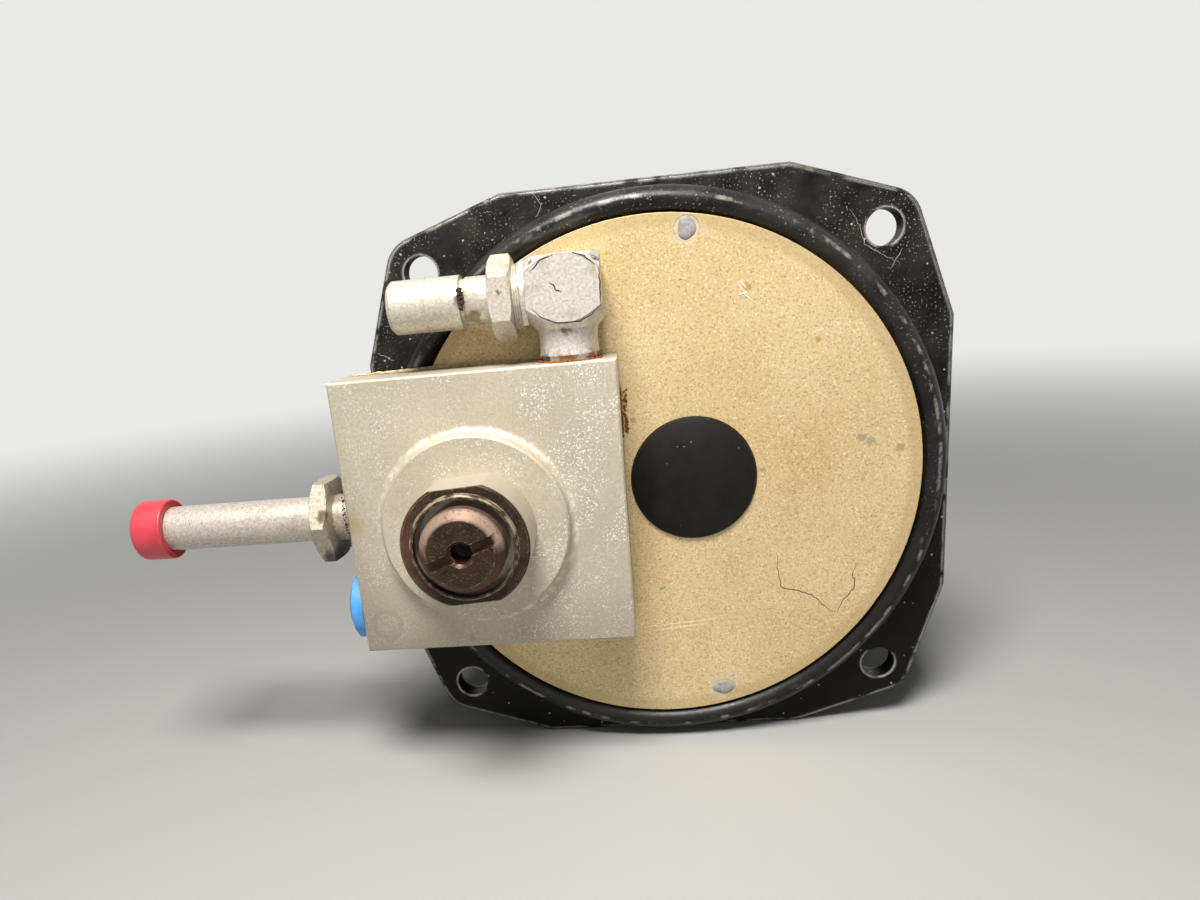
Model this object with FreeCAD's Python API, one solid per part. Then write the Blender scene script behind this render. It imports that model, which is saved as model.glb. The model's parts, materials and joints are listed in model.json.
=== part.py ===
"""Blind turn coordinator with a pneumatic valve block, on a 3-1/8 inch instrument flange.

Millimetres. +X is to the right and +Z is up when the gold end plate is looked at, and +Y runs
from that plate into the gyro can. The origin is the middle of the four panel holes, on the
flange's front face. The gyro hangs behind the end plate on four posts. Its gimbal axis is
canted, so that it feels roll as well as yaw. A link rod carries the gimbal's motion to the
rotary valve in the block and to an air damper.
"""
import FreeCAD, Part
import math
import os

V = FreeCAD.Vector
X = V(1, 0, 0)
Y = V(0, 1, 0)
Z = V(0, 0, 1)

# General fits
running_clearance = 0.05
assembly_clearance = 0.2

# Gyro can
can_radius = 39.2
can_wall = 1.8
can_length = 86.0
ledge_width = 5.6
ledge_thickness = 4.0
rear_lip_width = 7.0
rear_lip_thickness = 5.0

# Mounting flange: the holes lie on a circle round the can, the ears reach past them
hole_circle_margin = 5.256
hole_radius = 2.4
flange_rim = 1.6
flange_shoulder = 21.4
ear_margin = 4.015
ear_fillet = 5.0
flange_thickness = 3.2
flange_edge_break = 0.4

# End plate, its seal and the ring that holds it
plate_seat = 1.0
seal_thickness = 0.6
plate_rim_thickness = 2.0
plate_rim_width = 1.2
plate_rise = 3.6
ring_gap = 0.14
ring_overhang = 0.33
ring_under_block = 0.1

# Sealed screws in the end plate: angle from +X, and how far in from the can's bore
sealed_screw_angles = (81.0, -76.5)
sealed_screw_inset = 3.4
sealed_screw_radius = 1.2
sealed_head_radius = 1.7
sealed_head_depth = 1.2
sealed_screw_bite = 3.0

# Black plug over the adjusting hole
plug_x = 4.75
plug_z = 0.15
plug_hole_radius = 7.9
plug_head_radius = 8.85
plug_head_rise = 1.7
plug_barb_depth = 1.2
plug_wall = 1.3

# Valve block
block_x = -23.85
block_z = -0.5
block_size = 38.1
block_depth = 9.3
block_gasket = 0.6
block_edge_break = 0.25
boss_x = -25.05
boss_z = -2.0
boss_radius = 12.7
boss_height = 2.2
boss_cove = 1.0
block_screw_x = -18.0
block_screw_spread = 19.0
block_screw_radius = 1.4
block_screw_bite = 4.5
screw_head_ratio = 1.7
screw_head_height_ratio = 1.1

# Regulator: gland with two wrench flats, slotted seat, poppet and spring
gland_radius = 8.25
gland_flats = 15.0
gland_height = 7.6
gland_turn = 3.3
gland_edge_break = 0.25
gland_lip_radius = 6.85
gland_lip_height = 0.8
gland_thread_radius = 7.1
gland_bite = 5.3
gland_mouth_radius = 6.35
gland_mouth_depth = 3.0
gland_bore_radius = 4.8
core_seat_gap = 0.3
core_head_radius = 5.4
core_rise = 3.2
core_face_radius = 4.3
core_cone_height = 1.6
core_hole_radius = 1.35
core_hole_chamfer = 0.35
core_slot_width = 1.3
core_slot_depth = 1.0
core_slot_angle = 20.3
chamber_radius = 5.6
chamber_floor = 1.4
poppet_radius = 3.8
poppet_thickness = 1.2
poppet_nub_radius = 1.7
poppet_nub_length = 1.4
poppet_gap = 0.05
spring_wire = 0.6
spring_turns = 3.5

# Rotary valve and its crank
valve_x = -11.4
valve_z = -3.0
valve_radius = 3.95
valve_front_wall = 2.2
valve_port_width = 2.0
crank_radius = 8.0
crank_gap = 0.8
crank_thickness = 2.0
crank_hub_radius = 4.6
pin_radius = 1.0
passage_radius = 1.5

# Elbow and hose nipple on the block's top face
elbow_x = -10.9
elbow_body_width = 9.525
elbow_shoulder_radius = 4.5
elbow_shoulder_length = 0.7
elbow_above_axis = 4.75
elbow_below_axis = 3.65
elbow_axis_rise = 8.55
elbow_stem_radius = 3.95
elbow_waist_radius = 3.8
elbow_foot_gap = 0.85
elbow_foot_radius = 3.6
elbow_thread_radius = 3.2
elbow_bite = 7.0
elbow_bore_radius = 1.7
nipple_thread_radius = 4.0
nipple_thread_depth = 0.7
nipple_thread_gap = 1.04
nipple_hex_flats = 9.525
nipple_hex_length = 3.0
nipple_neck_radius = 3.1
nipple_neck_length = 3.3
nipple_groove_radius = 2.9
nipple_groove_length = 0.6
nipple_radius = 3.45
nipple_barrel_length = 9.6
nipple_chamfer = 0.5
nipple_bore_radius = 1.9
nipple_bite = 3.0

# Tube on the block's left face, and its cap
tube_z = -0.6
fitting_neck_radius = 3.3
fitting_neck_length = 2.6
fitting_flats = 11.1125
fitting_nut_length = 2.5
fitting_chamfer = 0.45
fitting_thread_radius = 3.4
fitting_bite = 7.0
tube_radius = 3.175
tube_wall = 0.9
tube_free_length = 25.8
cap_length = 4.8
cap_wall = 1.1
cap_end_gap = 0.3

# Plugged port low on the block's left face
port_z = -14.0
port_radius = 3.0
port_depth = 8.0
port_plug_head_radius = 4.7
port_plug_head_length = 2.7
port_plug_shank = 6.0
port_plug_wall = 1.0

# Gyro frame: two bridges on four posts just inside the can's ledge
post_radius = 2.6
post_gap = 0.6
post_angle = 36.47
stud_radius = 1.6
stud_bite = 2.4
bridge_corner = 3.0
bridge_thickness = 3.0
bridge_front = 12.0
frame_end_room = 10.0
window_post_gap = 2.4
window_top = 9.0
window_bottom = -14.5
nut_flats = 5.5
nut_thickness = 2.2
pivot_boss_radius = 5.5
pivot_boss_gap = 1.0

# Gimbal, rotor and motor
gimbal_cant = 30.0
gimbal_inner_length = 20.0
gimbal_inner_width = 13.0
gimbal_end_wall = 4.0
gimbal_side_wall = 3.5
gimbal_half_thickness = 5.0
gimbal_corner = 2.0
pivot_radius = 1.5
pivot_length = 4.0
bearing_outer_radius = 3.5
bearing_length = 3.0
rotor_radius = 17.5
rotor_half_width = 8.0
rotor_rim_thickness = 6.5
rotor_web = 4.0
rotor_hub_radius = 3.2
shaft_radius = 1.5
stator_radius = 10.0
stator_bore = 3.8
stator_reach = 14.5
stator_slots = 6
stator_slot_width = 1.6
stator_slot_depth = 2.4
arm_width = 3.0
arm_front = 8.0
arm_root_reach = 0.42
arm_root_rise = 0.8
link_z = 5.0

# Link rod, centring spring and damper
link_front = 4.6
link_thickness = 1.6
link_height = 5.6
link_end = 2.6
link_slot_half = 1.7
link_slot_clearance = 0.1
link_bar_right = 5.6
link_collar = 1.0
rod_radius = 1.0
damper_ledge_gap = 3.8
damper_length = 14.0
damper_bore_radius = 3.4
damper_wall = 1.0
damper_foot_width = 6.0
piston_length = 4.0
piston_depth = 8.0
coil_radius = 2.1
coil_wire = 0.5
coil_turns = 5.0
coil_steps = 14

# Rear cover and its electrical receptacle
cover_thickness = 3.0
cover_gasket = 0.5
cover_screw_count = 6
cover_screw_inset = 3.4
cover_screw_radius = 1.4
cover_screw_bite = 4.0
receptacle_flange = 25.4
receptacle_flange_thickness = 2.4
receptacle_corner = 3.0
receptacle_radius = 9.3
receptacle_wall = 1.2
receptacle_length = 12.0
receptacle_screw_spacing = 18.2
receptacle_screw_radius = 1.25
receptacle_screw_bite = 2.4
insert_length = 5.0
contact_count = 4
contact_circle = 4.2
contact_radius = 0.8
contact_length = 9.0
contact_tail = 1.5

# Radii and places that follow from the sizes above
hole_spacing = math.sqrt(2) * (can_radius + hole_circle_margin)
flange_half = can_radius + flange_rim
flange_flat_half = flange_half - flange_shoulder
ear_reach = hole_spacing / 2 + ear_margin
bore_radius = can_radius - can_wall
ledge_radius = bore_radius - ledge_width
plate_rim_radius = bore_radius - assembly_clearance
plate_face_radius = plate_rim_radius - plate_rim_width
post_circle = ledge_radius - post_gap - post_radius
post_x = post_circle * math.cos(math.radians(post_angle))
post_z = post_circle * math.sin(math.radians(post_angle))
bridge_half_width = post_x + post_radius
bridge_half_height = post_z + post_radius
window_half_width = post_x - post_radius - window_post_gap
damper_start = ledge_radius - damper_ledge_gap - damper_length
piston_station = damper_start + piston_depth

# Stations along Y that follow from the sizes above
gimbal_centre_y = (bridge_front + can_length - frame_end_room) / 2
plate_back = plate_seat - seal_thickness
plate_rim_front = plate_back - plate_rim_thickness
plate_front = -plate_rise
block_back = plate_front - block_gasket
ring_front = block_back + ring_under_block
block_front = block_back - block_depth
block_left = block_x - block_size / 2
block_top = block_z + block_size / 2
port_y = (block_back + block_front) / 2
boss_front = block_front - boss_height
gland_front = boss_front - gland_height
gland_end = boss_front + gland_bite
elbow_z = block_top + elbow_axis_rise
bridge_back = bridge_front + bridge_thickness
rear_bridge_front = 2 * gimbal_centre_y - bridge_back
rear_bridge_back = 2 * gimbal_centre_y - bridge_front
link_back = link_front + link_thickness
link_middle = (link_front + link_back) / 2
crank_front = plate_back + crank_gap
crank_back = crank_front + crank_thickness
cover_front = can_length + cover_gasket
cover_back = cover_front + cover_thickness
gimbal_centre = V(0, gimbal_centre_y, 0)


def spot(axis, station, across=(0, 0)):
    """The point at a station along an axis; across holds its other two coordinates in order."""
    if axis == X:
        return V(station, across[0], across[1])
    if axis == Y:
        return V(across[0], station, across[1])
    return V(across[0], across[1], station)


def side_of(axis):
    """A direction across an axis: Y for X, Z for Y and X for Z."""
    return V(axis.z, axis.x, axis.y)


def rod(radius, start, end, axis, across=(0, 0)):
    """A cylinder along an axis, from one station to another."""
    return Part.makeCylinder(radius, end - start, spot(axis, start, across), axis)


def sleeve(outer, inner, start, end, axis, across=(0, 0)):
    """A plain bush."""
    return rod(outer, start, end, axis, across).cut(rod(inner, start, end, axis, across))


def block(x, y, z):
    """A box from three (low, high) pairs."""
    return Part.makeBox(x[1] - x[0], y[1] - y[0], z[1] - z[0], V(x[0], y[0], z[0]))


def turned(edges, axis, across=(0, 0)):
    """Revolve a closed outline of (radius, station) points or arcs about a line along an axis.

    Each entry is a corner, or three corners in a tuple for an arc from the last corner on.
    """
    out = side_of(axis)
    base = spot(axis, 0, across)

    def at(corner):
        return base + out * corner[0] + axis * corner[1]

    shapes = []
    first = edges[0]
    last = first
    for step in edges[1:] + [first]:
        if isinstance(step[0], tuple):
            middle, end = step
            shapes.append(Part.Arc(at(last), at(middle), at(end)).toShape())
            last = end
        elif step != last:
            shapes.append(Part.LineSegment(at(last), at(step)).toShape())
            last = step
    solid = Part.Face(Part.Wire(shapes)).revolve(base, axis, 360)
    if solid.Volume < 0:
        solid.reverse()
    return solid


def hexagon(flats, start, end, axis, across=(0, 0), turn=0.0, chamfers=(0.0, 0.0)):
    """A hexagonal prism with turned chamfers; at turn 0 two of its flats face side_of(axis)."""
    corner = flats / math.sqrt(3)
    first = side_of(axis)
    second = axis.cross(first)
    centre = spot(axis, start, across)
    points = []
    for k in range(7):
        angle = math.radians(turn + 30 + 60 * k)
        points.append(centre + first * (corner * math.cos(angle)) + second * (corner * math.sin(angle)))
    prism = Part.Face(Part.makePolygon(points)).extrude(axis * (end - start))
    low, high = chamfers
    slope = 2.0
    blank = turned([(0, start), (corner - low * slope, start), (corner, start + low),
                    (corner, end - high), (corner - high * slope, end), (0, end)], axis, across)
    return prism.common(blank)


def ring_of(count, radius, first_angle=0.0):
    """Evenly spaced (x, z) points on a circle about the can's axis."""
    points = []
    for k in range(count):
        angle = math.radians(first_angle + 360.0 * k / count)
        points.append((radius * math.cos(angle), radius * math.sin(angle)))
    return points


def corners(half_x, half_z):
    """The four (x, z) corners of a rectangle centred on the can's axis."""
    return [(sx * half_x, sz * half_z) for sx in (-1, 1) for sz in (-1, 1)]


def coil(radius, wire, turns, start, end, axis, across=(0, 0)):
    """A compression spring between two stations: six-sided wire in short mitred runs along the helix."""
    rise = end - start - 1.5 * wire
    steps = round(turns * coil_steps)
    path = []
    for k in range(steps + 1):
        angle = 2 * math.pi * turns * k / steps
        path.append(V(radius * math.cos(angle), radius * math.sin(angle), rise * k / steps))
    way = (path[1] - path[0]).normalize()
    out = V(1, 0, 0)
    up = way.cross(out).normalize()
    section = []
    for k in range(7):
        angle = math.radians(60 * k)
        section.append(path[0] + (out * math.cos(angle) + up * math.sin(angle)) * (wire / 2))
    spring = Part.makePolygon(path).makePipeShell([Part.makePolygon(section)], True, False, 1)
    spring.Placement = FreeCAD.Placement(spot(axis, start + 0.75 * wire, across), FreeCAD.Rotation(Z, axis))
    return spring


def cant(shape):
    """Turn a piece that is drawn about +Y through the gimbal's centre onto the canted gimbal axis."""
    shape.rotate(gimbal_centre, X, -gimbal_cant)
    return shape


def rounded_plate(half_x, half_z, corner, start, end):
    """A rectangular plate across Y with rounded corners."""
    plate = block((-half_x, half_x), (start, end), (-half_z, half_z))
    upright = [e for e in plate.Edges if abs(e.tangentAt(e.FirstParameter).y) > 0.99]
    return plate.makeFillet(corner, upright)


def pan_screw(radius, head_front, under_head, tip, across, way=1):
    """A slotted screw along Y; its head is on the side away from its tip."""
    head_radius = radius * screw_head_ratio
    low, high = min(head_front, under_head), max(head_front, under_head)
    head = rod(head_radius, low, high, Y, across)
    shank = rod(radius, min(under_head, tip), max(under_head, tip), Y, across)
    slot_half = radius * 0.25
    depth = (high - low) * 0.45
    slot_y = (head_front, head_front + depth) if way > 0 else (head_front - depth, head_front)
    slot = block((across[0] - head_radius, across[0] + head_radius), slot_y,
                 (across[1] - slot_half, across[1] + slot_half))
    return head.fuse(shank).cut(slot)


def mounting_flange():
    """The eight-sided flange with its four panel holes."""
    a, b, c = flange_half, flange_flat_half, ear_reach
    quarter = [(b, a), (c, c), (a, b)]
    points = []
    for sx, sz in ((1, 1), (1, -1), (-1, -1), (-1, 1)):
        run = quarter if sx * sz > 0 else quarter[::-1]
        points += [V(sx * x, 0, sz * z) for x, z in run]
    plate = Part.Face(Part.makePolygon(points + [points[0]])).extrude(Y * flange_thickness)
    upright = [e for e in plate.Edges if abs(e.tangentAt(e.FirstParameter).y) > 0.99]
    ears = [e for e in upright if abs(abs(e.Vertexes[0].X) - c) < 0.01]
    plate = plate.makeFillet(ear_fillet, ears)
    front = [e for e in plate.Edges if e.BoundBox.YMax < 0.001]
    plate = plate.makeChamfer(flange_edge_break, front)
    plate = plate.cut(rod(can_radius + running_clearance, -1, flange_thickness + 1, Y))
    for across in corners(hole_spacing / 2, hole_spacing / 2):
        plate = plate.cut(rod(hole_radius, -1, flange_thickness + 1, Y, across))
    return plate


def case_can():
    """The drawn can, with a ledge for the end plate and an inner lip for the rear cover."""
    soft = min(1.0, can_wall / 2)
    can = turned([(bore_radius, 0), (can_radius, 0), (can_radius, can_length - soft),
                  ((can_radius - soft * 0.293, can_length - soft * 0.293), (can_radius - soft, can_length)),
                  (bore_radius - rear_lip_width, can_length),
                  (bore_radius - rear_lip_width, can_length - rear_lip_thickness),
                  (bore_radius, can_length - rear_lip_thickness),
                  (bore_radius, plate_seat + ledge_thickness),
                  (ledge_radius, plate_seat + ledge_thickness), (ledge_radius, plate_seat),
                  (bore_radius, plate_seat)], Y)
    for x, z in cover_screw_places():
        can = can.cut(rod(cover_screw_radius, can_length - cover_screw_bite, can_length, Y, (x, z)))
    for x, z in sealed_screw_places():
        can = can.cut(rod(sealed_screw_radius, plate_seat, plate_seat + sealed_screw_bite, Y, (x, z)))
    return can


def cover_screw_places():
    """The (x, z) places of the rear cover's screws."""
    return ring_of(cover_screw_count, bore_radius - cover_screw_inset, 30.0)


def sealed_screw_places():
    """The (x, z) places of the sealed screws."""
    reach = bore_radius - sealed_screw_inset
    return [ring_of(1, reach, angle)[0] for angle in sealed_screw_angles]


def retaining_ring():
    """The rounded black ring that clamps the end plate's rim."""
    inner = plate_face_radius + ring_gap
    outer = can_radius + ring_overhang
    middle = (inner + outer) / 2
    shoulder = plate_rim_radius + assembly_clearance / 2
    low = ring_front * 0.55
    high = ring_front * 0.86
    return turned([(shoulder, 0), (outer, 0), (outer, low),
                   ((outer - 0.62, high), (middle, ring_front)),
                   ((inner + 0.62, high), (inner, low)),
                   (inner, plate_rim_front), (shoulder, plate_rim_front)], Y)


def end_plate():
    """The gold-coloured plate that carries the valve block outside and the gyro inside."""
    plate = turned([(0, plate_back), (plate_rim_radius, plate_back), (plate_rim_radius, plate_rim_front),
                    (plate_face_radius, plate_rim_front), (plate_face_radius, plate_front),
                    (0, plate_front)], Y)
    plate = plate.cut(rod(plug_hole_radius, plate_front, plate_back, Y, (plug_x, plug_z)))
    plate = plate.cut(rod(valve_radius + running_clearance, plate_front, plate_back, Y, (valve_x, valve_z)))
    for across in corners(post_x, post_z):
        plate = plate.cut(rod(stud_radius, plate_back - stud_bite, plate_back, Y, across))
    for across in block_screw_places():
        plate = plate.cut(rod(block_screw_radius, plate_front, plate_back, Y, across))
    for across in sealed_screw_places():
        plate = plate.cut(rod(sealed_screw_radius, plate_front, plate_back, Y, across))
        plate = plate.cut(rod(sealed_head_radius, plate_front, plate_front + sealed_head_depth, Y, across))
    return plate


def plate_seal():
    """The flat rubber seal between the end plate and the can's ledge."""
    seal = sleeve(plate_rim_radius, ledge_radius, plate_back, plate_seat, Y)
    for across in sealed_screw_places():
        seal = seal.cut(rod(sealed_screw_radius, plate_back, plate_seat, Y, across))
    return seal


def sealed_screws():
    """Flush screws whose heads are covered with grey sealant."""
    screws = []
    for across in sealed_screw_places():
        head = rod(sealed_head_radius, plate_front, plate_front + sealed_head_depth, Y, across)
        shank = rod(sealed_screw_radius, plate_front, plate_seat + sealed_screw_bite, Y, across)
        screws.append(head.fuse(shank).removeSplitter())
    return Part.makeCompound(screws)


def hole_plug():
    """The domed plastic plug: a head on the plate and a hollow barbed skirt through it."""
    skirt = plug_hole_radius - running_clearance
    lip = 0.35
    edge = 0.5
    tip = plate_back + plug_barb_depth
    crown = plate_front - plug_head_rise
    plug = turned([(0, crown), ((plug_head_radius * 0.55, crown + plug_head_rise * 0.16),
                                (plug_head_radius - 0.25, plate_front - edge)),
                   (plug_head_radius, plate_front), (skirt, plate_front), (skirt, tip - lip),
                   (skirt - lip, tip), (skirt - plug_wall, tip), (skirt - plug_wall, plate_front + 0.4),
                   (0, plate_front + 0.4)], Y, (plug_x, plug_z))
    return plug


def block_screw_places():
    """The (x, z) places of the screws that hold the block."""
    return [(block_screw_x, side * block_screw_spread / 2) for side in (-1, 1)]


def valve_block():
    """The square block with its boss, the regulator and valve bores, and the ports that join them."""
    half = block_size / 2
    body = block((block_left, block_left + block_size), (block_front, block_back),
                 (block_z - half, block_z + half))
    body = body.makeChamfer(block_edge_break, [e for e in body.Edges if e.BoundBox.YMax < block_front + 0.01])
    boss_edge = 0.3
    cove_end = boss_radius + boss_cove
    bend = boss_cove * 0.293
    boss = turned([(0, block_back), (boss_radius, block_back), (cove_end, block_front),
                   ((boss_radius + bend, block_front - bend), (boss_radius, block_front - boss_cove)),
                   (boss_radius, boss_front + boss_edge), (boss_radius - boss_edge, boss_front),
                   (0, boss_front)], Y, (boss_x, boss_z))
    body = body.fuse(boss)
    regulator = (boss_x, boss_z)
    valve = (valve_x, valve_z)
    body = body.cut(rod(gland_thread_radius, boss_front, gland_end, Y, regulator))
    body = body.cut(rod(chamber_radius, gland_end, block_back - chamber_floor, Y, regulator))
    bore = valve_radius + running_clearance
    body = body.cut(rod(bore, block_front + valve_front_wall, block_back, Y, valve))
    for across in block_screw_places():
        body = body.cut(rod(block_screw_radius, block_back - block_screw_bite, block_back, Y, across))
    body = body.cut(rod(elbow_thread_radius, block_top - elbow_bite, block_top, Z, (elbow_x, port_y)))
    body = body.cut(rod(passage_radius, valve_z, block_top - elbow_bite, Z, (elbow_x, port_y)))
    body = body.cut(rod(fitting_thread_radius, block_left, block_left + fitting_bite, X, (port_y, tube_z)))
    body = body.cut(rod(passage_radius, block_left, boss_x, X, (port_y, tube_z)))
    body = body.cut(rod(passage_radius, boss_x, valve_x, X, (port_y, valve_z)))
    body = body.cut(rod(port_radius, block_left, block_left + port_depth, X, (port_y, port_z)))
    body = body.cut(rod(passage_radius, block_left, valve_x, X, (port_y, port_z)))
    body = body.cut(rod(passage_radius, port_z, valve_z, Z, (valve_x, port_y)))
    return body


def block_seal():
    """The thin gasket under the valve block, cut to the end plate and the block's own outline."""
    half = block_size / 2
    sheet = block((block_left, block_left + block_size), (block_back, plate_front),
                  (block_z - half, block_z + half))
    sheet = sheet.common(rod(plate_face_radius, block_back, plate_front, Y))
    sheet = sheet.cut(rod(valve_radius + running_clearance, block_back, plate_front, Y, (valve_x, valve_z)))
    for across in block_screw_places():
        sheet = sheet.cut(rod(block_screw_radius, block_back, plate_front, Y, across))
    return sheet


def block_screws():
    """Two screws that hold the block from inside the can."""
    head = block_screw_radius * screw_head_height_ratio
    return Part.makeCompound([pan_screw(block_screw_radius, plate_back + head, plate_back,
                                        block_back - block_screw_bite, across, -1)
                              for across in block_screw_places()])


def hex_gland():
    """The dark bronze gland of the regulator: round body with two wrench flats, lip and stepped bore."""
    across = (boss_x, boss_z)
    soft = gland_edge_break
    lip_front = gland_front - gland_lip_height
    body = turned([(0, gland_front), (gland_radius - soft, gland_front), (gland_radius, gland_front + soft),
                   (gland_radius, boss_front), (0, boss_front)], Y, across)
    for side in (-1, 1):
        near = boss_z + side * gland_flats / 2
        far = boss_z + side * 2 * gland_radius
        waste = block((boss_x - 2 * gland_radius, boss_x + 2 * gland_radius), (gland_front, boss_front),
                      (min(near, far), max(near, far)))
        waste.rotate(spot(Y, gland_front, across), Y, -gland_turn)
        body = body.cut(waste)
    lip = turned([(0, lip_front), (gland_lip_radius - soft, lip_front), (gland_lip_radius, lip_front + soft),
                  (gland_lip_radius, gland_front), (0, gland_front)], Y, across)
    gland = body.fuse([lip, rod(gland_thread_radius, boss_front, gland_end, Y, across)])
    gland = gland.cut(rod(gland_mouth_radius, lip_front, gland_front + gland_mouth_depth, Y, across))
    return gland.cut(rod(gland_bore_radius, gland_front, gland_end, Y, across)).removeSplitter()


def slotted_seat():
    """The turning seat of the regulator: conical head proud of the gland, slot and central air hole."""
    across = (boss_x, boss_z)
    front = gland_front - core_rise
    shoulder = gland_front + gland_mouth_depth - core_seat_gap
    tip = gland_end - poppet_thickness
    body = gland_bore_radius - running_clearance
    seat = turned([(core_hole_radius + core_hole_chamfer, front), (core_face_radius, front),
                   (core_head_radius, front + core_cone_height), (core_head_radius, shoulder),
                   (body, shoulder), (body, tip), (core_hole_radius, tip),
                   (core_hole_radius, front + core_hole_chamfer)], Y, across)
    slot = block((boss_x - core_head_radius, boss_x + core_head_radius), (front, front + core_slot_depth),
                 (boss_z - core_slot_width / 2, boss_z + core_slot_width / 2))
    slot.rotate(spot(Y, front, across), Y, -core_slot_angle)
    return seat.cut(slot)


def poppet():
    """The disc that the spring holds against the seat's air hole."""
    across = (boss_x, boss_z)
    face = gland_end - poppet_thickness + poppet_gap
    back = face + poppet_thickness
    return turned([(0, face), (poppet_radius, face), (poppet_radius, back), (poppet_nub_radius, back),
                   (poppet_nub_radius, back + poppet_nub_length), (0, back + poppet_nub_length)], Y, across)


def regulator_spring():
    """The light spring between the poppet and the chamber's floor."""
    start = gland_end + poppet_gap
    end = block_back - chamber_floor
    radius = (poppet_nub_radius + poppet_radius) / 2
    return coil(radius, spring_wire, spring_turns, start, end, Y, (boss_x, boss_z))


def valve_rotor():
    """The rotary valve: a ported spool with a crank arm behind the end plate."""
    across = (valve_x, valve_z)
    front = block_front + valve_front_wall + assembly_clearance
    spool = rod(valve_radius, front, crank_back, Y, across)
    for turn in (0, 90, 180):
        port = block((valve_x - valve_port_width / 2, valve_x + valve_port_width / 2),
                     (port_y - passage_radius, port_y + passage_radius),
                     (valve_z + valve_radius * 0.7, valve_z + valve_radius + 1))
        port.rotate(spot(Y, port_y, across), Y, turn + 90)
        spool = spool.cut(port)
    return spool


def valve_crank():
    """The crank arm pressed on the valve's tail, with the pin that the link rod moves."""
    reach = valve_z + crank_radius
    arm = rod(crank_hub_radius, crank_front, crank_back, Y, (valve_x, valve_z))
    arm = arm.fuse(rod(2 * pin_radius, crank_front, crank_back, Y, (valve_x, reach)))
    arm = arm.fuse(block((valve_x - 2 * pin_radius, valve_x + 2 * pin_radius), (crank_front, crank_back),
                         (valve_z, reach)))
    arm = arm.fuse(rod(pin_radius, crank_back, link_back + 0.4, Y, (valve_x, reach)))
    return arm.cut(rod(valve_radius, crank_front, crank_back, Y, (valve_x, valve_z)))


def elbow():
    """The square-bodied elbow: cones turned on its ends, a round stem, its thread and a side port.

    A short round shoulder is turned on the body's side, where the nipple screws in.
    """
    half = elbow_body_width / 2
    low = elbow_z - elbow_below_axis
    high = elbow_z + elbow_above_axis
    reach = half * math.sqrt(2)
    cone = reach - half
    neck = low - (half - elbow_stem_radius)
    blank = turned([(0, neck), (elbow_stem_radius, neck), (reach, low + cone), (reach, high - cone),
                    (half, high), (0, high)], Z, (elbow_x, port_y))
    body = block((elbow_x - half, elbow_x + half), (port_y - half, port_y + half), (neck, high)).common(blank)
    foot = block_top + elbow_foot_gap
    waist = (foot + neck) / 2
    stem = turned([(0, block_top), (elbow_foot_radius, block_top), (elbow_foot_radius, foot),
                   (elbow_stem_radius, foot), ((elbow_waist_radius, waist), (elbow_stem_radius, neck)),
                   (0, neck)], Z, (elbow_x, port_y))
    thread = rod(elbow_thread_radius, block_top - elbow_bite, block_top, Z, (elbow_x, port_y))
    shoulder = rod(elbow_shoulder_radius, elbow_face_x(), elbow_x - half, X, (port_y, elbow_z))
    shoulder = shoulder.common(block((elbow_face_x(), elbow_x), (port_y - half, port_y + half), (low, high)))
    fitting = body.fuse([stem, thread, shoulder])
    fitting = fitting.cut(rod(elbow_bore_radius, block_top - elbow_bite, elbow_z, Z, (elbow_x, port_y)))
    return fitting.cut(rod(nipple_root_radius(), elbow_face_x(), elbow_x, X, (port_y, elbow_z)))


def elbow_face_x():
    """The X station of the face that the nipple screws into."""
    return elbow_x - elbow_body_width / 2 - elbow_shoulder_length


def nipple_root_radius():
    """The thread of the nipple inside the elbow, a little under the thread that shows outside."""
    return nipple_thread_radius - nipple_thread_depth


def hose_nipple():
    """The hexagon-bodied hose nipple that screws into the elbow's side."""
    across = (port_y, elbow_z)
    face = elbow_face_x()
    hex_right = face - nipple_thread_gap
    hex_left = hex_right - nipple_hex_length
    neck = hex_left - nipple_neck_length
    groove = neck - nipple_groove_length
    tip = groove - nipple_barrel_length
    body = turned([(0, tip), (nipple_radius - nipple_chamfer, tip), (nipple_radius, tip + nipple_chamfer),
                   (nipple_radius, groove), (nipple_groove_radius, groove), (nipple_groove_radius, neck),
                   (nipple_neck_radius, neck), (nipple_neck_radius, hex_left), (0, hex_left)], X, across)
    nut = hexagon(nipple_hex_flats, hex_left, hex_right, X, across, 0.0, (0.35, 0.35))
    collar = rod(nipple_thread_radius, hex_right, face, X, across)
    thread = rod(nipple_root_radius(), face, face + nipple_bite, X, across)
    body = body.fuse([nut, collar, thread])
    return body.cut(rod(nipple_bore_radius, tip, face + nipple_bite, X, across))


def tube_fitting():
    """The hexagon fitting that holds the metal tube in the block's left face."""
    across = (port_y, tube_z)
    neck = block_left - fitting_neck_length
    left = neck - fitting_nut_length
    body = hexagon(fitting_flats, left, neck, X, across, 30.0, (fitting_chamfer, fitting_chamfer))
    body = body.fuse(rod(fitting_neck_radius, neck, block_left, X, across))
    body = body.fuse(rod(fitting_thread_radius, block_left, block_left + fitting_bite, X, across))
    body = body.cut(rod(tube_radius, left, neck, X, across))
    return body.cut(rod(tube_radius - tube_wall, neck, block_left + fitting_bite, X, across))


def air_tube():
    """The straight metal tube."""
    neck = block_left - fitting_neck_length
    return sleeve(tube_radius, tube_radius - tube_wall, tube_tip(), neck, X, (port_y, tube_z))


def tube_tip():
    """The X station of the tube's open end."""
    return block_left - fitting_neck_length - fitting_nut_length - tube_free_length


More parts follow.
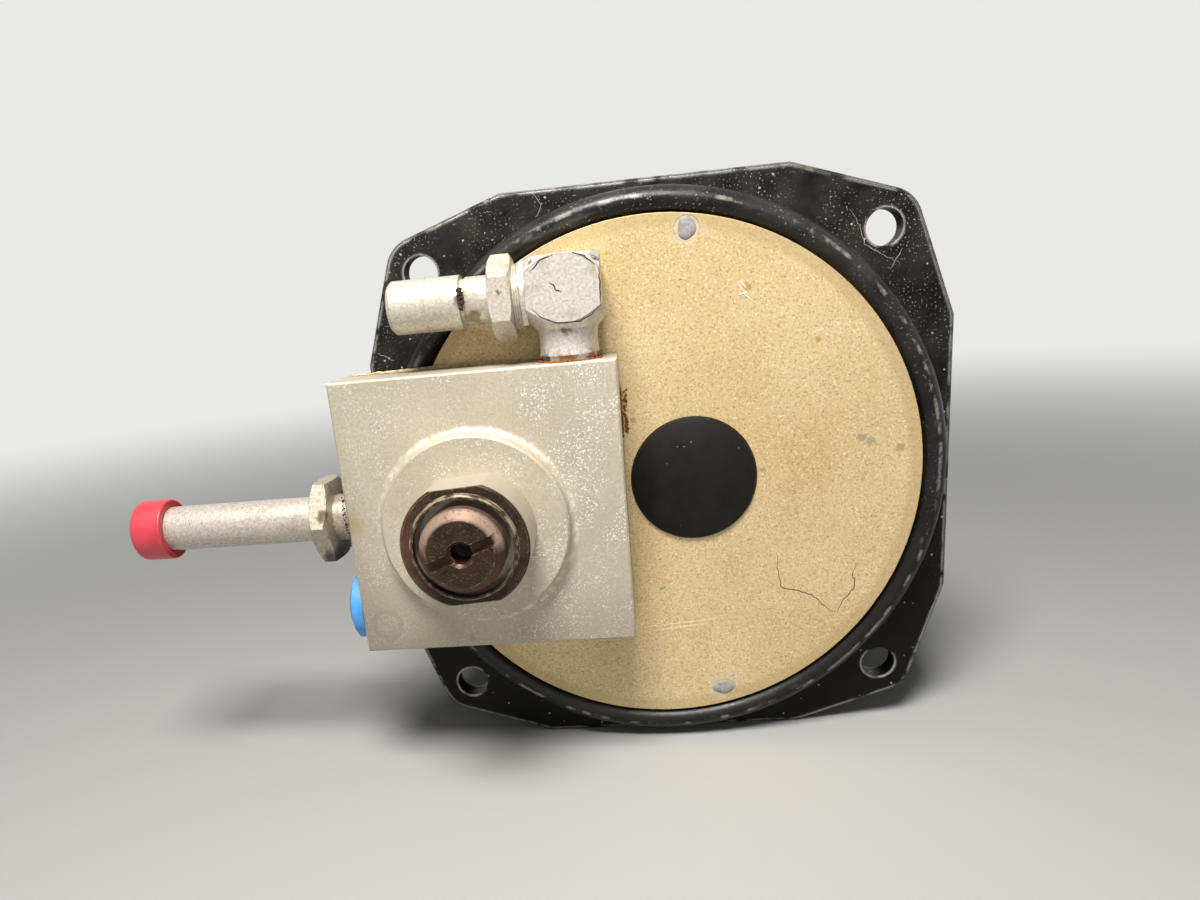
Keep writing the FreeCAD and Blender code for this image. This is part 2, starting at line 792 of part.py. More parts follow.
def tube_cap():
    """The soft cap pushed over the tube's end."""
    across = (port_y, tube_z)
    inner = tube_radius + running_clearance
    outer = inner + cap_wall
    end = tube_tip() - cap_end_gap - cap_wall
    soft = 1.0
    bend = soft * 0.293
    return turned([(0, end), (outer - soft, end), ((outer - bend, end + bend), (outer, end + soft)),
                   (outer, end + cap_length), (inner, end + cap_length), (inner, end + cap_wall),
                   (0, end + cap_wall)], X, across)


def port_plug():
    """The blue plastic plug in the spare port."""
    across = (port_y, port_z)
    left = block_left - port_plug_head_length
    shank = port_radius - running_clearance
    tip = block_left + port_plug_shank
    dome = port_plug_head_length * 0.45
    return turned([(0, left), ((port_plug_head_radius * 0.7, left + dome * 0.4),
                               (port_plug_head_radius, left + dome)),
                   (port_plug_head_radius, block_left), (shank, block_left), (shank, tip),
                   (shank - port_plug_wall, tip), (shank - port_plug_wall, left + port_plug_wall + dome),
                   (0, left + port_plug_wall + dome)], X, across)


def front_bridge():
    """The bridge behind the end plate: windowed plate and the canted boss of the front pivot."""
    plate = rounded_plate(bridge_half_width, bridge_half_height, bridge_corner, bridge_front, bridge_back)
    window = block((-window_half_width, window_half_width), (bridge_front, bridge_back),
                   (window_bottom, window_top))
    plate = plate.cut(window)
    for across in corners(post_x, post_z):
        plate = plate.cut(rod(stud_radius, bridge_front, bridge_back, Y, across))
    inner = gimbal_inner_length + gimbal_end_wall + pivot_boss_gap
    reach = (gimbal_centre_y - bridge_front) / math.cos(math.radians(gimbal_cant)) + pivot_boss_radius
    boss = cant(rod(pivot_boss_radius, gimbal_centre_y - reach, gimbal_centre_y - inner, Y))
    beyond = 4 * pivot_boss_radius
    boss = boss.cut(block((-beyond, beyond), (bridge_front - beyond, bridge_front),
                          (window_bottom, can_radius)))
    seat = cant(rod(bearing_outer_radius, gimbal_centre_y - inner - bearing_length - pivot_length / 2,
                    gimbal_centre_y - inner, Y))
    return plate.fuse(boss).cut(seat).removeSplitter()


def rear_bridge():
    """The rear bridge is the front one turned over about the gimbal's centre."""
    bridge = front_bridge()
    bridge.rotate(gimbal_centre, X, 180)
    return bridge


def front_spacers():
    """Four tubes between the end plate and the front bridge."""
    return Part.makeCompound([sleeve(post_radius, stud_radius, plate_back, bridge_front, Y, across)
                              for across in corners(post_x, post_z)])


def frame_posts():
    """Four posts with a threaded stud at each end."""
    posts = []
    for across in corners(post_x, post_z):
        post = rod(post_radius, bridge_back, rear_bridge_front, Y, across)
        stud = rod(stud_radius, plate_back - stud_bite, rear_bridge_back + nut_thickness + 0.6, Y, across)
        posts.append(post.fuse(stud))
    return Part.makeCompound(posts)


def post_nuts():
    """Nuts on the rear studs."""
    nuts = []
    end = rear_bridge_back + nut_thickness
    for across in corners(post_x, post_z):
        nut = hexagon(nut_flats, rear_bridge_back, end, Y, across, 0.0, (0.0, 0.25))
        nuts.append(nut.cut(rod(stud_radius, rear_bridge_back, end, Y, across)))
    return Part.makeCompound(nuts)


def gimbal_bearings():
    """Bushes in the two canted bosses."""
    inner = gimbal_inner_length + gimbal_end_wall + pivot_boss_gap
    bore = pivot_radius + running_clearance
    bushes = []
    for way in (-1, 1):
        near = gimbal_centre_y + way * inner
        far = gimbal_centre_y + way * (inner + bearing_length)
        bushes.append(cant(sleeve(bearing_outer_radius, bore, min(near, far), max(near, far), Y)))
    return Part.makeCompound(bushes)


def gimbal_frame():
    """The gimbal: a rectangular ring round the rotor and the arm that drives the link rod.

    The arm's root follows the lowest inner edge of the canted ring's front wall.
    """
    outer_x = gimbal_inner_width + gimbal_side_wall
    outer_y = gimbal_inner_length + gimbal_end_wall
    thick = gimbal_half_thickness
    ring = block((-outer_x, outer_x), (gimbal_centre_y - outer_y, gimbal_centre_y + outer_y), (-thick, thick))
    upright = [e for e in ring.Edges if abs(e.tangentAt(e.FirstParameter).z) > 0.99]
    ring = ring.makeFillet(gimbal_corner, upright)
    opening = block((-gimbal_inner_width, gimbal_inner_width),
                    (gimbal_centre_y - gimbal_inner_length, gimbal_centre_y + gimbal_inner_length),
                    (-thick, thick))
    ring = ring.cut(opening)
    ring = ring.cut(rod(bearing_outer_radius, -outer_x, outer_x, X, (gimbal_centre_y, 0)))
    ring = ring.cut(rod(pivot_radius, gimbal_centre_y - outer_y, gimbal_centre_y + outer_y, Y))
    ring = cant(ring)
    tilt = math.radians(gimbal_cant)
    lowest_y = gimbal_centre_y - gimbal_inner_length * math.cos(tilt) - thick * math.sin(tilt)
    lowest_z = gimbal_inner_length * math.sin(tilt) - thick * math.cos(tilt)
    arm_rear = lowest_y + arm_root_reach
    half = arm_width / 2
    arm = block((-half, half), (arm_front, arm_rear), (link_z - half, link_z + half))
    root = block((-half, half), (arm_rear - arm_width, arm_rear), (link_z - half, lowest_z + arm_root_rise))
    arm = arm.cut(rod(pin_radius, arm_front, arm_front + arm_width, Y, (0, link_z)))
    return ring.fuse([arm, root]).removeSplitter()


def gimbal_pivots():
    """Two pivot pins pressed into the gimbal's ends."""
    pins = []
    outer = gimbal_inner_length + gimbal_end_wall
    length = gimbal_end_wall + pivot_boss_gap + pivot_length
    for way in (-1, 1):
        near = gimbal_centre_y + way * (outer - gimbal_end_wall)
        far = near + way * length
        pins.append(cant(rod(pivot_radius, min(near, far), max(near, far), Y)))
    return Part.makeCompound(pins)


def drive_pin():
    """The pin in the gimbal's arm that moves the link rod."""
    return rod(pin_radius, link_front - 0.4, arm_front + arm_width, Y, (0, link_z))


def rotor_bearings():
    """Bushes of the rotor's shaft in the gimbal's side walls."""
    bushes = []
    for way in (-1, 1):
        near = way * gimbal_inner_width
        far = way * (gimbal_inner_width + gimbal_side_wall)
        bushes.append(sleeve(bearing_outer_radius, shaft_radius + running_clearance, min(near, far),
                             max(near, far), X, (gimbal_centre_y, 0)))
    return Part.makeCompound(bushes)


def rotor_wheel():
    """The heavy gyro wheel: rim, web and hub, open on the motor's side."""
    cavity = rotor_radius - rotor_rim_thickness
    left = -rotor_half_width
    edge = 0.6
    return turned([(shaft_radius, left), (rotor_radius - edge, left), (rotor_radius, left + edge),
                   (rotor_radius, rotor_half_width - edge), (rotor_radius - edge, rotor_half_width),
                   (cavity, rotor_half_width), (cavity, left + rotor_web),
                   (rotor_hub_radius, left + rotor_web), (rotor_hub_radius, left + 1.5 * rotor_web),
                   (shaft_radius, left + 1.5 * rotor_web)], X, (gimbal_centre_y, 0))


def rotor_shaft():
    """The wheel's shaft, carried at both ends by bushes."""
    reach = gimbal_inner_width + gimbal_side_wall
    return rod(shaft_radius, -reach, reach, X, (gimbal_centre_y, 0))


def motor_stator():
    """The slotted stator that drives the wheel, fixed to the gimbal's side wall."""
    across = (gimbal_centre_y, 0)
    left = gimbal_inner_width - stator_reach
    core = sleeve(stator_radius, stator_bore, left, rotor_half_width + 1.0, X, across)
    for k in range(stator_slots):
        slot = block((left, rotor_half_width - 1.0),
                     (gimbal_centre_y - stator_slot_width / 2, gimbal_centre_y + stator_slot_width / 2),
                     (stator_radius - stator_slot_depth, stator_radius + 1))
        slot.rotate(V(0, gimbal_centre_y, 0), X, 360.0 * k / stator_slots)
        core = core.cut(slot)
    spigot = sleeve(stator_bore + 1.2, stator_bore, rotor_half_width + 1.0, gimbal_inner_width, X, across)
    return core.fuse(spigot)


def link_rod():
    """The flat bar with two slotted eyes and the round rod that carries the damper's piston."""
    left = valve_x - link_end
    low = link_z - link_height / 2
    bar = block((left, link_bar_right), (link_front, link_back), (low, low + link_height))
    slot_half = pin_radius + link_slot_clearance
    for x in (0.0, valve_x):
        bar = bar.cut(block((x - slot_half, x + slot_half), (link_front, link_back),
                            (link_z - link_slot_half, link_z + link_slot_half)))
    collar = rod(coil_radius + 0.4, link_bar_right, link_bar_right + link_collar, X, (link_middle, link_z))
    stem = rod(rod_radius, link_bar_right, piston_station, X, (link_middle, link_z))
    return bar.fuse([collar, stem])


def damper_piston():
    """The graphite piston on the link rod's end."""
    radius = damper_bore_radius - running_clearance
    start = piston_station - piston_length
    return sleeve(radius, rod_radius, start, piston_station, X, (link_middle, link_z))


def damper_cylinder():
    """The air cylinder on the end plate's back, open to the rod and closed at its far end."""
    across = (link_middle, link_z)
    outer = damper_bore_radius + damper_wall
    end = damper_start + damper_length
    body = rod(outer, damper_start, end, X, across)
    foot = block((damper_start, end), (plate_back, link_middle),
                 (link_z - damper_foot_width / 2, link_z + damper_foot_width / 2))
    body = body.fuse(foot)
    head_end = damper_start + damper_wall
    body = body.cut(rod(damper_bore_radius, head_end, end - damper_wall, X, across))
    return body.cut(rod(rod_radius + 2 * running_clearance, damper_start, head_end, X, across))


def centring_spring():
    """The coil between the link rod's collar and the damper cylinder."""
    start = link_bar_right + link_collar
    return coil(coil_radius, coil_wire, coil_turns, start, damper_start, X, (link_middle, link_z))


def rear_cover():
    """The can's rear cover with a raised centre and the receptacle's opening."""
    step = 1.0
    land = bore_radius - rear_lip_width
    cover = turned([(0, cover_front), (can_radius, cover_front), (can_radius, cover_back - step),
                    (can_radius - step, cover_back), (0, cover_back)], Y)
    spigot = rod(land - assembly_clearance, cover_front - 2 * step, cover_front, Y)
    cover = cover.fuse(spigot).cut(rod(land - 2 * step, cover_front - 2 * step, cover_back - 2 * step, Y))
    cover = cover.cut(rod(receptacle_radius - receptacle_wall, cover_front, cover_back, Y))
    for across in cover_screw_places():
        cover = cover.cut(rod(cover_screw_radius, cover_front, cover_back, Y, across))
    screw_end = cover_back - receptacle_screw_bite
    for across in receptacle_screw_places():
        cover = cover.cut(rod(receptacle_screw_radius, screw_end, cover_back, Y, across))
    return cover


def cover_seal():
    """The flat seal under the rear cover."""
    seal = sleeve(can_radius - 1.0, bore_radius - rear_lip_width, can_length, cover_front, Y)
    for across in cover_screw_places():
        seal = seal.cut(rod(cover_screw_radius, can_length, cover_front, Y, across))
    return seal


def rear_screws():
    """The slotted screws that hold the rear cover."""
    head = cover_screw_radius * screw_head_height_ratio
    return Part.makeCompound([pan_screw(cover_screw_radius, cover_back + head, cover_back,
                                        can_length - cover_screw_bite, across, -1)
                              for across in cover_screw_places()])


def receptacle_screw_places():
    """The (x, z) places of the connector's screws."""
    return corners(receptacle_screw_spacing / 2, receptacle_screw_spacing / 2)


def receptacle_shell():
    """The connector's square flange and round shell."""
    base = cover_back + receptacle_flange_thickness
    half = receptacle_flange / 2
    shell = rounded_plate(half, half, receptacle_corner, cover_back, base)
    shell = shell.fuse(rod(receptacle_radius, base, base + receptacle_length, Y))
    shell = shell.cut(rod(receptacle_radius - receptacle_wall, cover_back, base + receptacle_length, Y))
    for across in receptacle_screw_places():
        shell = shell.cut(rod(receptacle_screw_radius, cover_back, base, Y, across))
    return shell


def receptacle_screws():
    """The screws that hold the connector's flange to the cover."""
    base = cover_back + receptacle_flange_thickness
    head = receptacle_screw_radius * screw_head_height_ratio
    return Part.makeCompound([pan_screw(receptacle_screw_radius, base + head, base,
                                        cover_back - receptacle_screw_bite, across, -1)
                              for across in receptacle_screw_places()])


def receptacle_insert():
    """The insulator that holds the contacts."""
    insert = rod(receptacle_radius - receptacle_wall, cover_back, cover_back + insert_length, Y)
    for across in ring_of(contact_count, contact_circle, 45.0):
        insert = insert.cut(rod(contact_radius, cover_back, cover_back + insert_length, Y, across))
    return insert


def receptacle_contacts():
    """Round-nosed contact pins."""
    pins = []
    tail = cover_back - contact_tail
    tip = cover_back + contact_length
    nose = contact_radius * 0.6
    for across in ring_of(contact_count, contact_circle, 45.0):
        pins.append(turned([(0, tail), (contact_radius, tail), (contact_radius, tip - nose),
                            (contact_radius - nose, tip), (0, tip)], Y, across))
    return Part.makeCompound(pins)


PIECES = {
    "mounting_flange": mounting_flange,
    "case_can": case_can,
    "retaining_ring": retaining_ring,
    "end_plate": end_plate,
    "plate_seal": plate_seal,
    "sealed_screws": sealed_screws,
    "hole_plug": hole_plug,
    "valve_block": valve_block,
    "block_seal": block_seal,
    "block_screws": block_screws,
    "hex_gland": hex_gland,
    "slotted_seat": slotted_seat,
    "poppet": poppet,
    "regulator_spring": regulator_spring,
    "valve_rotor": valve_rotor,
    "valve_crank": valve_crank,
    "elbow": elbow,
    "hose_nipple": hose_nipple,
    "tube_fitting": tube_fitting,
    "air_tube": air_tube,
    "tube_cap": tube_cap,
    "port_plug": port_plug,
    "front_bridge": front_bridge,
    "rear_bridge": rear_bridge,
    "front_spacers": front_spacers,
    "frame_posts": frame_posts,
    "post_nuts": post_nuts,
    "gimbal_bearings": gimbal_bearings,
    "gimbal_frame": gimbal_frame,
    "gimbal_pivots": gimbal_pivots,
    "drive_pin": drive_pin,
    "rotor_bearings": rotor_bearings,
    "rotor_wheel": rotor_wheel,
    "rotor_shaft": rotor_shaft,
    "motor_stator": motor_stator,
    "link_rod": link_rod,
    "damper_piston": damper_piston,
    "damper_cylinder": damper_cylinder,
    "centring_spring": centring_spring,
    "rear_cover": rear_cover,
    "cover_seal": cover_seal,
    "cover_screws": rear_screws,
    "receptacle_shell": receptacle_shell,
    "receptacle_screws": receptacle_screws,
    "receptacle_insert": receptacle_insert,
    "receptacle_contacts": receptacle_contacts,
}

os.makedirs("parts", exist_ok=True)
for name, make in PIECES.items():
    shape = make()
    shape.exportStep("parts/" + name + ".step")
    print(f"{name:20s} solids {len(shape.Solids)}  valid {shape.isValid()}  volume {shape.Volume:9.1f} mm3")
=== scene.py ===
# %% [markdown]
# # A blind turn coordinator
# The object is a gyro instrument without a dial. Its round can stands behind an eight-sided black
# flange, and a gold end plate closes it. A square valve block with hose and tube fittings is screwed to
# the plate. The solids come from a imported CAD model. This lesson rounds their edges, adds the small
# things that a CAD model leaves out, and gives every surface its real finish.

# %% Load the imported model
import json
import math
import random

import bmesh
import bpy
from mathutils import Matrix, Vector

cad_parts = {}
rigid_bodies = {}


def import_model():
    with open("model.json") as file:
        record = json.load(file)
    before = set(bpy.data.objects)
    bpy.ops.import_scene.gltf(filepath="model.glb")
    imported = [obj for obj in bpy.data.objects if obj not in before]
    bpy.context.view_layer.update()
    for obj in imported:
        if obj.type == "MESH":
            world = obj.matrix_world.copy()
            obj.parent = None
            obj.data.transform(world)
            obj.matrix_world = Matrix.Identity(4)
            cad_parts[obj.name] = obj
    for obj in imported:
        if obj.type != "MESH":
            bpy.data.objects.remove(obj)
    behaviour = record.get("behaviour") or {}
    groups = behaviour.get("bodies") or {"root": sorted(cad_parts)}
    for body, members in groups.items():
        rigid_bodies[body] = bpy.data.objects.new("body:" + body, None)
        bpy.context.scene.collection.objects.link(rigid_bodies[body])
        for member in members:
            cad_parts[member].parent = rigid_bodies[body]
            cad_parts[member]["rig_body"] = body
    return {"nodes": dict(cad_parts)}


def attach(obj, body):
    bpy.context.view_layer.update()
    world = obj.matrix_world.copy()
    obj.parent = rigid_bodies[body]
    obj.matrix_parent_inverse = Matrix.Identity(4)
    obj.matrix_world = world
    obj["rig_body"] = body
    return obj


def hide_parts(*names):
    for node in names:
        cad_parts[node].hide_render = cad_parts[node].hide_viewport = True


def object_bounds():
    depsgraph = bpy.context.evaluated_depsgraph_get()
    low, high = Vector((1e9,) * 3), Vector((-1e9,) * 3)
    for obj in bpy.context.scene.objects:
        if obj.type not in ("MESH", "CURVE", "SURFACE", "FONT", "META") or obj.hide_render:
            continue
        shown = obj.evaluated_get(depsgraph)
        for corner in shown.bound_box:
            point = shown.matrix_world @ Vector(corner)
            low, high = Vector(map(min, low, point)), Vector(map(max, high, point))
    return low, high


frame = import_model()
cad_low, cad_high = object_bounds()
MM = 0.001
print("CAD box in mm:", [round((high - low) / MM, 1) for low, high in zip(cad_low, cad_high)])

# %% [markdown]
# ## The camera
# The photograph was taken by hand from close by, so the camera has a wide lens, stands 123 mm before the
# flange, looks a little down and is rolled by a few degrees. These values were fitted to the flange's
# holes, the ring and the valve block. The lens shift only moves the picture to the photograph's frame.

# %% Place the camera
photo_width = 1200
photo_height = 900
focal_length_px = 850.2
picture_centre_px = (546.2, 535.6)
camera_place = Vector((-3.42, -122.78, 27.53)) * MM
camera_right = Vector((0.99194, 0.08596, -0.09313)).normalized()
camera_up = Vector((0.06525, 0.28359, 0.95672)).normalized()
sensor_width = 36.0

camera_data = bpy.data.cameras.new("photo_camera")
camera_data.sensor_width = sensor_width
camera_data.lens = sensor_width * focal_length_px / photo_width
camera_data.shift_x = (photo_width / 2 - picture_centre_px[0]) / photo_width
camera_data.shift_y = (picture_centre_px[1] - photo_height / 2) / photo_width
camera_data.clip_start = 10 * MM
camera = bpy.data.objects.new("photo_camera", camera_data)
turn = Matrix((camera_right, camera_up, camera_right.cross(camera_up))).transposed()
camera.matrix_world = Matrix.Translation(camera_place) @ turn.to_4x4()
bpy.context.scene.collection.objects.link(camera)
bpy.context.scene.camera = camera
print("lens in mm:", round(camera_data.lens, 2))

# %% [markdown]
# ## Colours and nodes
# Colours are written as sRGB hex values, as a paint chart gives them, and one function turns them to the
# linear values that shaders need. One small function adds a node, sets it and links it, so that a
# material reads from top to bottom. It serves materials and Geometry Nodes alike.

# %% Colours and nodes
def colour(hex_value):
    """Linear RGBA from an sRGB hex string."""
    channels = [int(hex_value[k:k + 2], 16) / 255 for k in (1, 3, 5)]
    linear = [c / 12.92 if c <= 0.04045 else ((c + 0.055) / 1.055) ** 2.4 for c in channels]
    return (*linear, 1.0)


def add(tree, kind, inputs=None, **settings):
    """Add a node; inputs maps a socket to a value, a hex colour or another node's output."""
    node = tree.nodes.new(kind)
    for name, value in settings.items():
        setattr(node, name, value)
    for key, value in (inputs or {}).items():
        if isinstance(value, bpy.types.NodeSocket):
            tree.links.new(value, node.inputs[key])
        else:
            node.inputs[key].default_value = colour(value) if isinstance(value, str) else value
    return node


def per(size_mm):
    """The scale of a pattern whose features are this many millimetres wide."""
    return 1 / (size_mm * MM)


def new_finish(name, **values):
    """A material whose plain shader sockets are set here; returns material, tree, shader and place."""
    material = bpy.data.materials.new(name)
    material.use_nodes = True
    tree = material.node_tree
    shader = tree.nodes["Principled BSDF"]
    for socket, value in values.items():
        value = colour(value) if isinstance(value, str) else value
        shader.inputs[socket.replace("_", " ")].default_value = value
    place = add(tree, "ShaderNodeTexCoord").outputs["Object"]
    return material, tree, shader, place


# %% [markdown]
# ## Masks
# Wear and dirt could be painted on maps, but here they are masks between 0 and 1 that are worked out from
# the place on the object, so they stay sharp at any distance. Clouds and specks repeat everywhere, while
# the others stand at a place given in millimetres: round a circle, from one height to another, or about a
# point. A layer of colour then goes over the last one where its mask is 1.

# %% Layers of colour, and masks that repeat
def product(tree, *masks):
    """Masks and numbers multiplied together."""
    result = masks[0]
    for mask in masks[1:]:
        result = add(tree, "ShaderNodeMath", {0: result, 1: mask}, operation="MULTIPLY").outputs[0]
    return result


def tint(tree, under, over, mask, strength=1.0):
    """The colour under with the colour over laid on it where the mask is 1."""
    share = product(tree, mask, strength)
    return add(tree, "ShaderNodeMix", {0: share, 6: under, 7: over}, data_type="RGBA").outputs[2]


def clouds(tree, place, size_mm, low, high, detail=3.0):
    """A soft noise mask from 0 to 1 between two noise levels."""
    noise = add(tree, "ShaderNodeTexNoise", {"Vector": place, "Scale": per(size_mm), "Detail": detail})
    ramp = add(tree, "ShaderNodeMapRange", {"Value": noise.outputs["Fac"], "From Min": low,
                                            "From Max": high})
    return ramp.outputs["Result"]


def specks(tree, place, size_mm, share, radius=0.35):
    """A mask of separate dots, one in some cells of the given width."""
    cells = add(tree, "ShaderNodeTexVoronoi", {"Vector": place, "Scale": per(size_mm)})
    dots = add(tree, "ShaderNodeMapRange", {"Value": cells.outputs["Distance"], "From Min": radius,
                                            "From Max": radius * 0.6})
    picked = add(tree, "ShaderNodeMath", {0: cells.outputs["Color"], 1: share}, operation="LESS_THAN")
    return product(tree, dots.outputs["Result"], picked.outputs[0])


print("clouds 5 mm wide take a scale of", round(per(5.0)))

# %% Masks at a place
def rise(tree, place, axis, low_mm, high_mm):
    """0 at low and 1 at high along one axis; low may be the larger of the two."""
    along = add(tree, "ShaderNodeSeparateXYZ", {0: place}).outputs[axis]
    ramp = add(tree, "ShaderNodeMapRange", {"Value": along, "From Min": low_mm * MM,
                                            "From Max": high_mm * MM})
    return ramp.outputs["Result"]


def near_circle(tree, place, centre_mm, radius_mm, half_width_mm):
    """1 on a circle about an axis along Y through (x, z), and 0 from the half width on."""
    centre = (centre_mm[0] * MM, 0, centre_mm[1] * MM)
    away = add(tree, "ShaderNodeVectorMath", {0: place, 1: centre}, operation="SUBTRACT").outputs[0]
    away = add(tree, "ShaderNodeVectorMath", {0: away, 1: (1, 0, 1)}, operation="MULTIPLY").outputs[0]
    reach = add(tree, "ShaderNodeVectorMath", {0: away}, operation="LENGTH").outputs["Value"]
    gap = add(tree, "ShaderNodeMath", {0: reach, 1: radius_mm * MM}, operation="SUBTRACT").outputs[0]
    gap = add(tree, "ShaderNodeMath", {0: gap}, operation="ABSOLUTE").outputs[0]
    ramp = add(tree, "ShaderNodeMapRange", {"Value": gap, "From Min": half_width_mm * MM,
                                            "From Max": 0.4 * half_width_mm * MM})
    return ramp.outputs["Result"]


def spot(tree, place, centre_mm, radius_mm):
    """A stain with a wobbly outline about a point."""
    noise = add(tree, "ShaderNodeTexNoise", {"Vector": place, "Scale": per(radius_mm * 0.7), "Detail": 3.0})
    reach = add(tree, "ShaderNodeMapRange", {"Value": noise.outputs["Fac"], "From Min": 0.3,
                                             "From Max": 0.7, "To Min": 0.5 * radius_mm * MM,
                                             "To Max": 1.4 * radius_mm * MM})
    reach = reach.outputs["Result"]
    centre = tuple(c * MM for c in centre_mm)
    away = add(tree, "ShaderNodeVectorMath", {0: place, 1: centre}, operation="DISTANCE").outputs["Value"]
    ramp = add(tree, "ShaderNodeMapRange", {"Value": away, "From Min": reach,
                                            "From Max": product(tree, reach, 0.5)})
    return ramp.outputs["Result"]


# %% Worn edges, and the links of a finished surface
def edge_wear(tree, place, radius_mm, size_mm, low, high):
    """A broken mask along sharp edges: where a rounded normal leaves the true one, times clouds."""
    rounded_normal = add(tree, "ShaderNodeBevel", {"Radius": radius_mm * MM}, samples=4).outputs[0]
    true_normal = add(tree, "ShaderNodeNewGeometry").outputs["Normal"]
    likeness = add(tree, "ShaderNodeVectorMath", {0: rounded_normal, 1: true_normal},
                   operation="DOT_PRODUCT")
    edge = add(tree, "ShaderNodeMapRange", {"Value": likeness.outputs["Value"], "From Min": 0.995,
                                            "From Max": 0.93})
    return product(tree, edge.outputs["Result"], clouds(tree, place, size_mm, low, high, 6.0))


def surface(tree, shader, base, gloss_mask, smooth, rough, relief, relief_mm, metal_mask=None):
    """Link colour, a roughness between two values, fine relief of a real depth, and bare metal."""
    gloss = add(tree, "ShaderNodeMapRange", {"Value": gloss_mask, "To Min": smooth, "To Max": rough})
    height = add(tree, "ShaderNodeBump", {"Height": relief, "Distance": relief_mm * MM})
    tree.links.new(base, shader.inputs["Base Color"])
    tree.links.new(gloss.outputs["Result"], shader.inputs["Roughness"])
    tree.links.new(height.outputs["Normal"], shader.inputs["Normal"])
    if metal_mask:
        tree.links.new(metal_mask, shader.inputs["Metallic"])


print("helpers ready")

# %% [markdown]
# ## Black enamel
# The flange, ring, can and rear cover are castings and a drawn can under satin black enamel. Handling has
# chipped it along the edges down to bare aluminium, and pale dust sits in fine specks on it, most at the
# top. A film that grows towards the top is partly that dust and partly a painted sheen, and a line round
# the ring is partly rubbed paint and partly a painted highlight. On the flange the chips are wide enough to
# be also a painted highlight along its lit edges. The chips follow the sharp edges through the shader's
# rounded normal, so no map is painted.

# %% Black enamel
can_axis = (0, 0)
ring_wear_and_highlight_radius = 38.2


def make_enamel(name, wear, dust_share, wear_and_highlight_line=0.0, smooth=0.38, shine=0.14):
    """Two blacks under a film of dust and painted sheen at the top, specks of dust, a line of wear and
    painted highlight round the ring, and chipped edges.
    """
    material, tree, shader, place = new_finish(name, IOR=1.5, Specular_IOR_Level=shine)
    base = tint(tree, "#080707", "#100F0D", clouds(tree, place, 9.0, 0.35, 0.75))
    # painted sheen: the film and drift of dust grow towards the top, partly dust and partly painted light
    upper_dust_and_sheen = rise(tree, place, "Z", -22.0, 38.0)
    film = product(tree, clouds(tree, place, 5.0, 0.36, 0.7, 6.0), upper_dust_and_sheen)
    base = tint(tree, base, "#5C5751", film, 0.3)
    drift = product(tree, clouds(tree, place, 6.0, 0.38, 0.6), upper_dust_and_sheen)
    crumbly = clouds(tree, place, 0.3, 0.71 - dust_share * 0.22, 0.76 - dust_share * 0.22, 2.0)
    base = tint(tree, base, "#C9C2B6", product(tree, crumbly, drift), 0.6)
    base = tint(tree, base, "#D8D2C6", specks(tree, place, 0.9, dust_share * 0.3, 0.2), 0.6)
    base = tint(tree, base, "#A9763F", specks(tree, place, 1.1, dust_share * 0.3, 0.14), 0.6)
    # the line round the ring is partly rubbed paint and partly a painted highlight on the crest
    if wear_and_highlight_line:
        line = product(tree, near_circle(tree, place, can_axis, ring_wear_and_highlight_radius, 0.35),
                       clouds(tree, place, 2.2, 0.5, 0.62, 6.0))
        base = tint(tree, base, "#A39E96", line, wear_and_highlight_line)
    # chipped edges; with the flange's high wear they are also a painted highlight along the lit edges
    chips = edge_wear(tree, place, 0.6, 3.4, 1 - wear, 1.1 - wear)
    base = tint(tree, base, "#D2CEC5", chips, 0.9)
    surface(tree, shader, base, clouds(tree, place, 3.0, 0.3, 0.7), smooth, smooth + 0.14,
            clouds(tree, place, 0.5, 0.3, 0.7), 0.012, product(tree, chips, 0.7))
    return material


# the flange's chips are set wide, so they are also a painted highlight along its lit edges
enamel = make_enamel("satin black enamel", 0.59, 0.4)
ring_enamel = make_enamel("satin black enamel of the ring", 0.44, 0.26, 0.6, 0.28, 0.3)
fresh_enamel = make_enamel("satin black enamel, hardly worn", 0.42, 0.12)
print("enamels:", enamel.name, "|", ring_enamel.name, "|", fresh_enamel.name)

# %% [markdown]
# ## Gold chromate
# The end plate is aluminium with a yellow chromate coat, as on most aircraft parts. The coat is thin, so
# the metal still shines through, and it looks mottled because its colour follows the grain of the metal.
# Fine noise gives the mottle, and masks about a few points put the rusty, green and grey stains where they
# are on the real plate.

# %% Gold chromate
plate_front_y = -3.6
plate_rim_radius = 35.2
rusty_stains = ((13.0, 25.4), (25.9, 25.7), (22.0, 18.0))
green_stains = ((14.4, 0.6), (-0.6, -16.2), (-3.2, 9.1))
grey_smears = ((27.8, 4.2), (28.9, 3.6), (32.9, 2.4))
sealant_halos = ((5.3, 33.2), (7.8, -32.4))

gold, tree, shader, place = new_finish("gold chromate on aluminium", IOR=1.5, Metallic=0.3)
base = tint(tree, "#D9C394", "#CBB07E", clouds(tree, place, 14.0, 0.3, 0.7, 5.0))
base = tint(tree, base, "#9C8152", clouds(tree, place, 0.32, 0.5, 0.72, 4.0), 0.75)
base = tint(tree, base, "#F2E3C0", clouds(tree, place, 0.27, 0.55, 0.7), 0.65)
base = tint(tree, base, "#5F4828", clouds(tree, place, 0.5, 0.7, 0.75, 2.0), 0.6)
base = tint(tree, base, "#6B5230", specks(tree, place, 1.4, 0.12, 0.14), 0.75)
base = tint(tree, base, "#B39A6C", near_circle(tree, place, can_axis, plate_rim_radius, 1.3), 0.5)
for stains, stain_colour, stain_radius in ((rusty_stains, "#B0742F", 0.6), (green_stains, "#76875F", 0.5),
                                           (grey_smears, "#8B8272", 0.9), (sealant_halos, "#CFC5AE", 2.6)):
    for x, z in stains:
        base = tint(tree, base, stain_colour, spot(tree, place, (x, plate_front_y, z), stain_radius), 0.6)
grain = clouds(tree, place, 0.25, 0.3, 0.7)
surface(tree, shader, base, grain, 0.42, 0.58, grain, 0.01)
print(gold.name, "has", len(tree.nodes), "nodes")
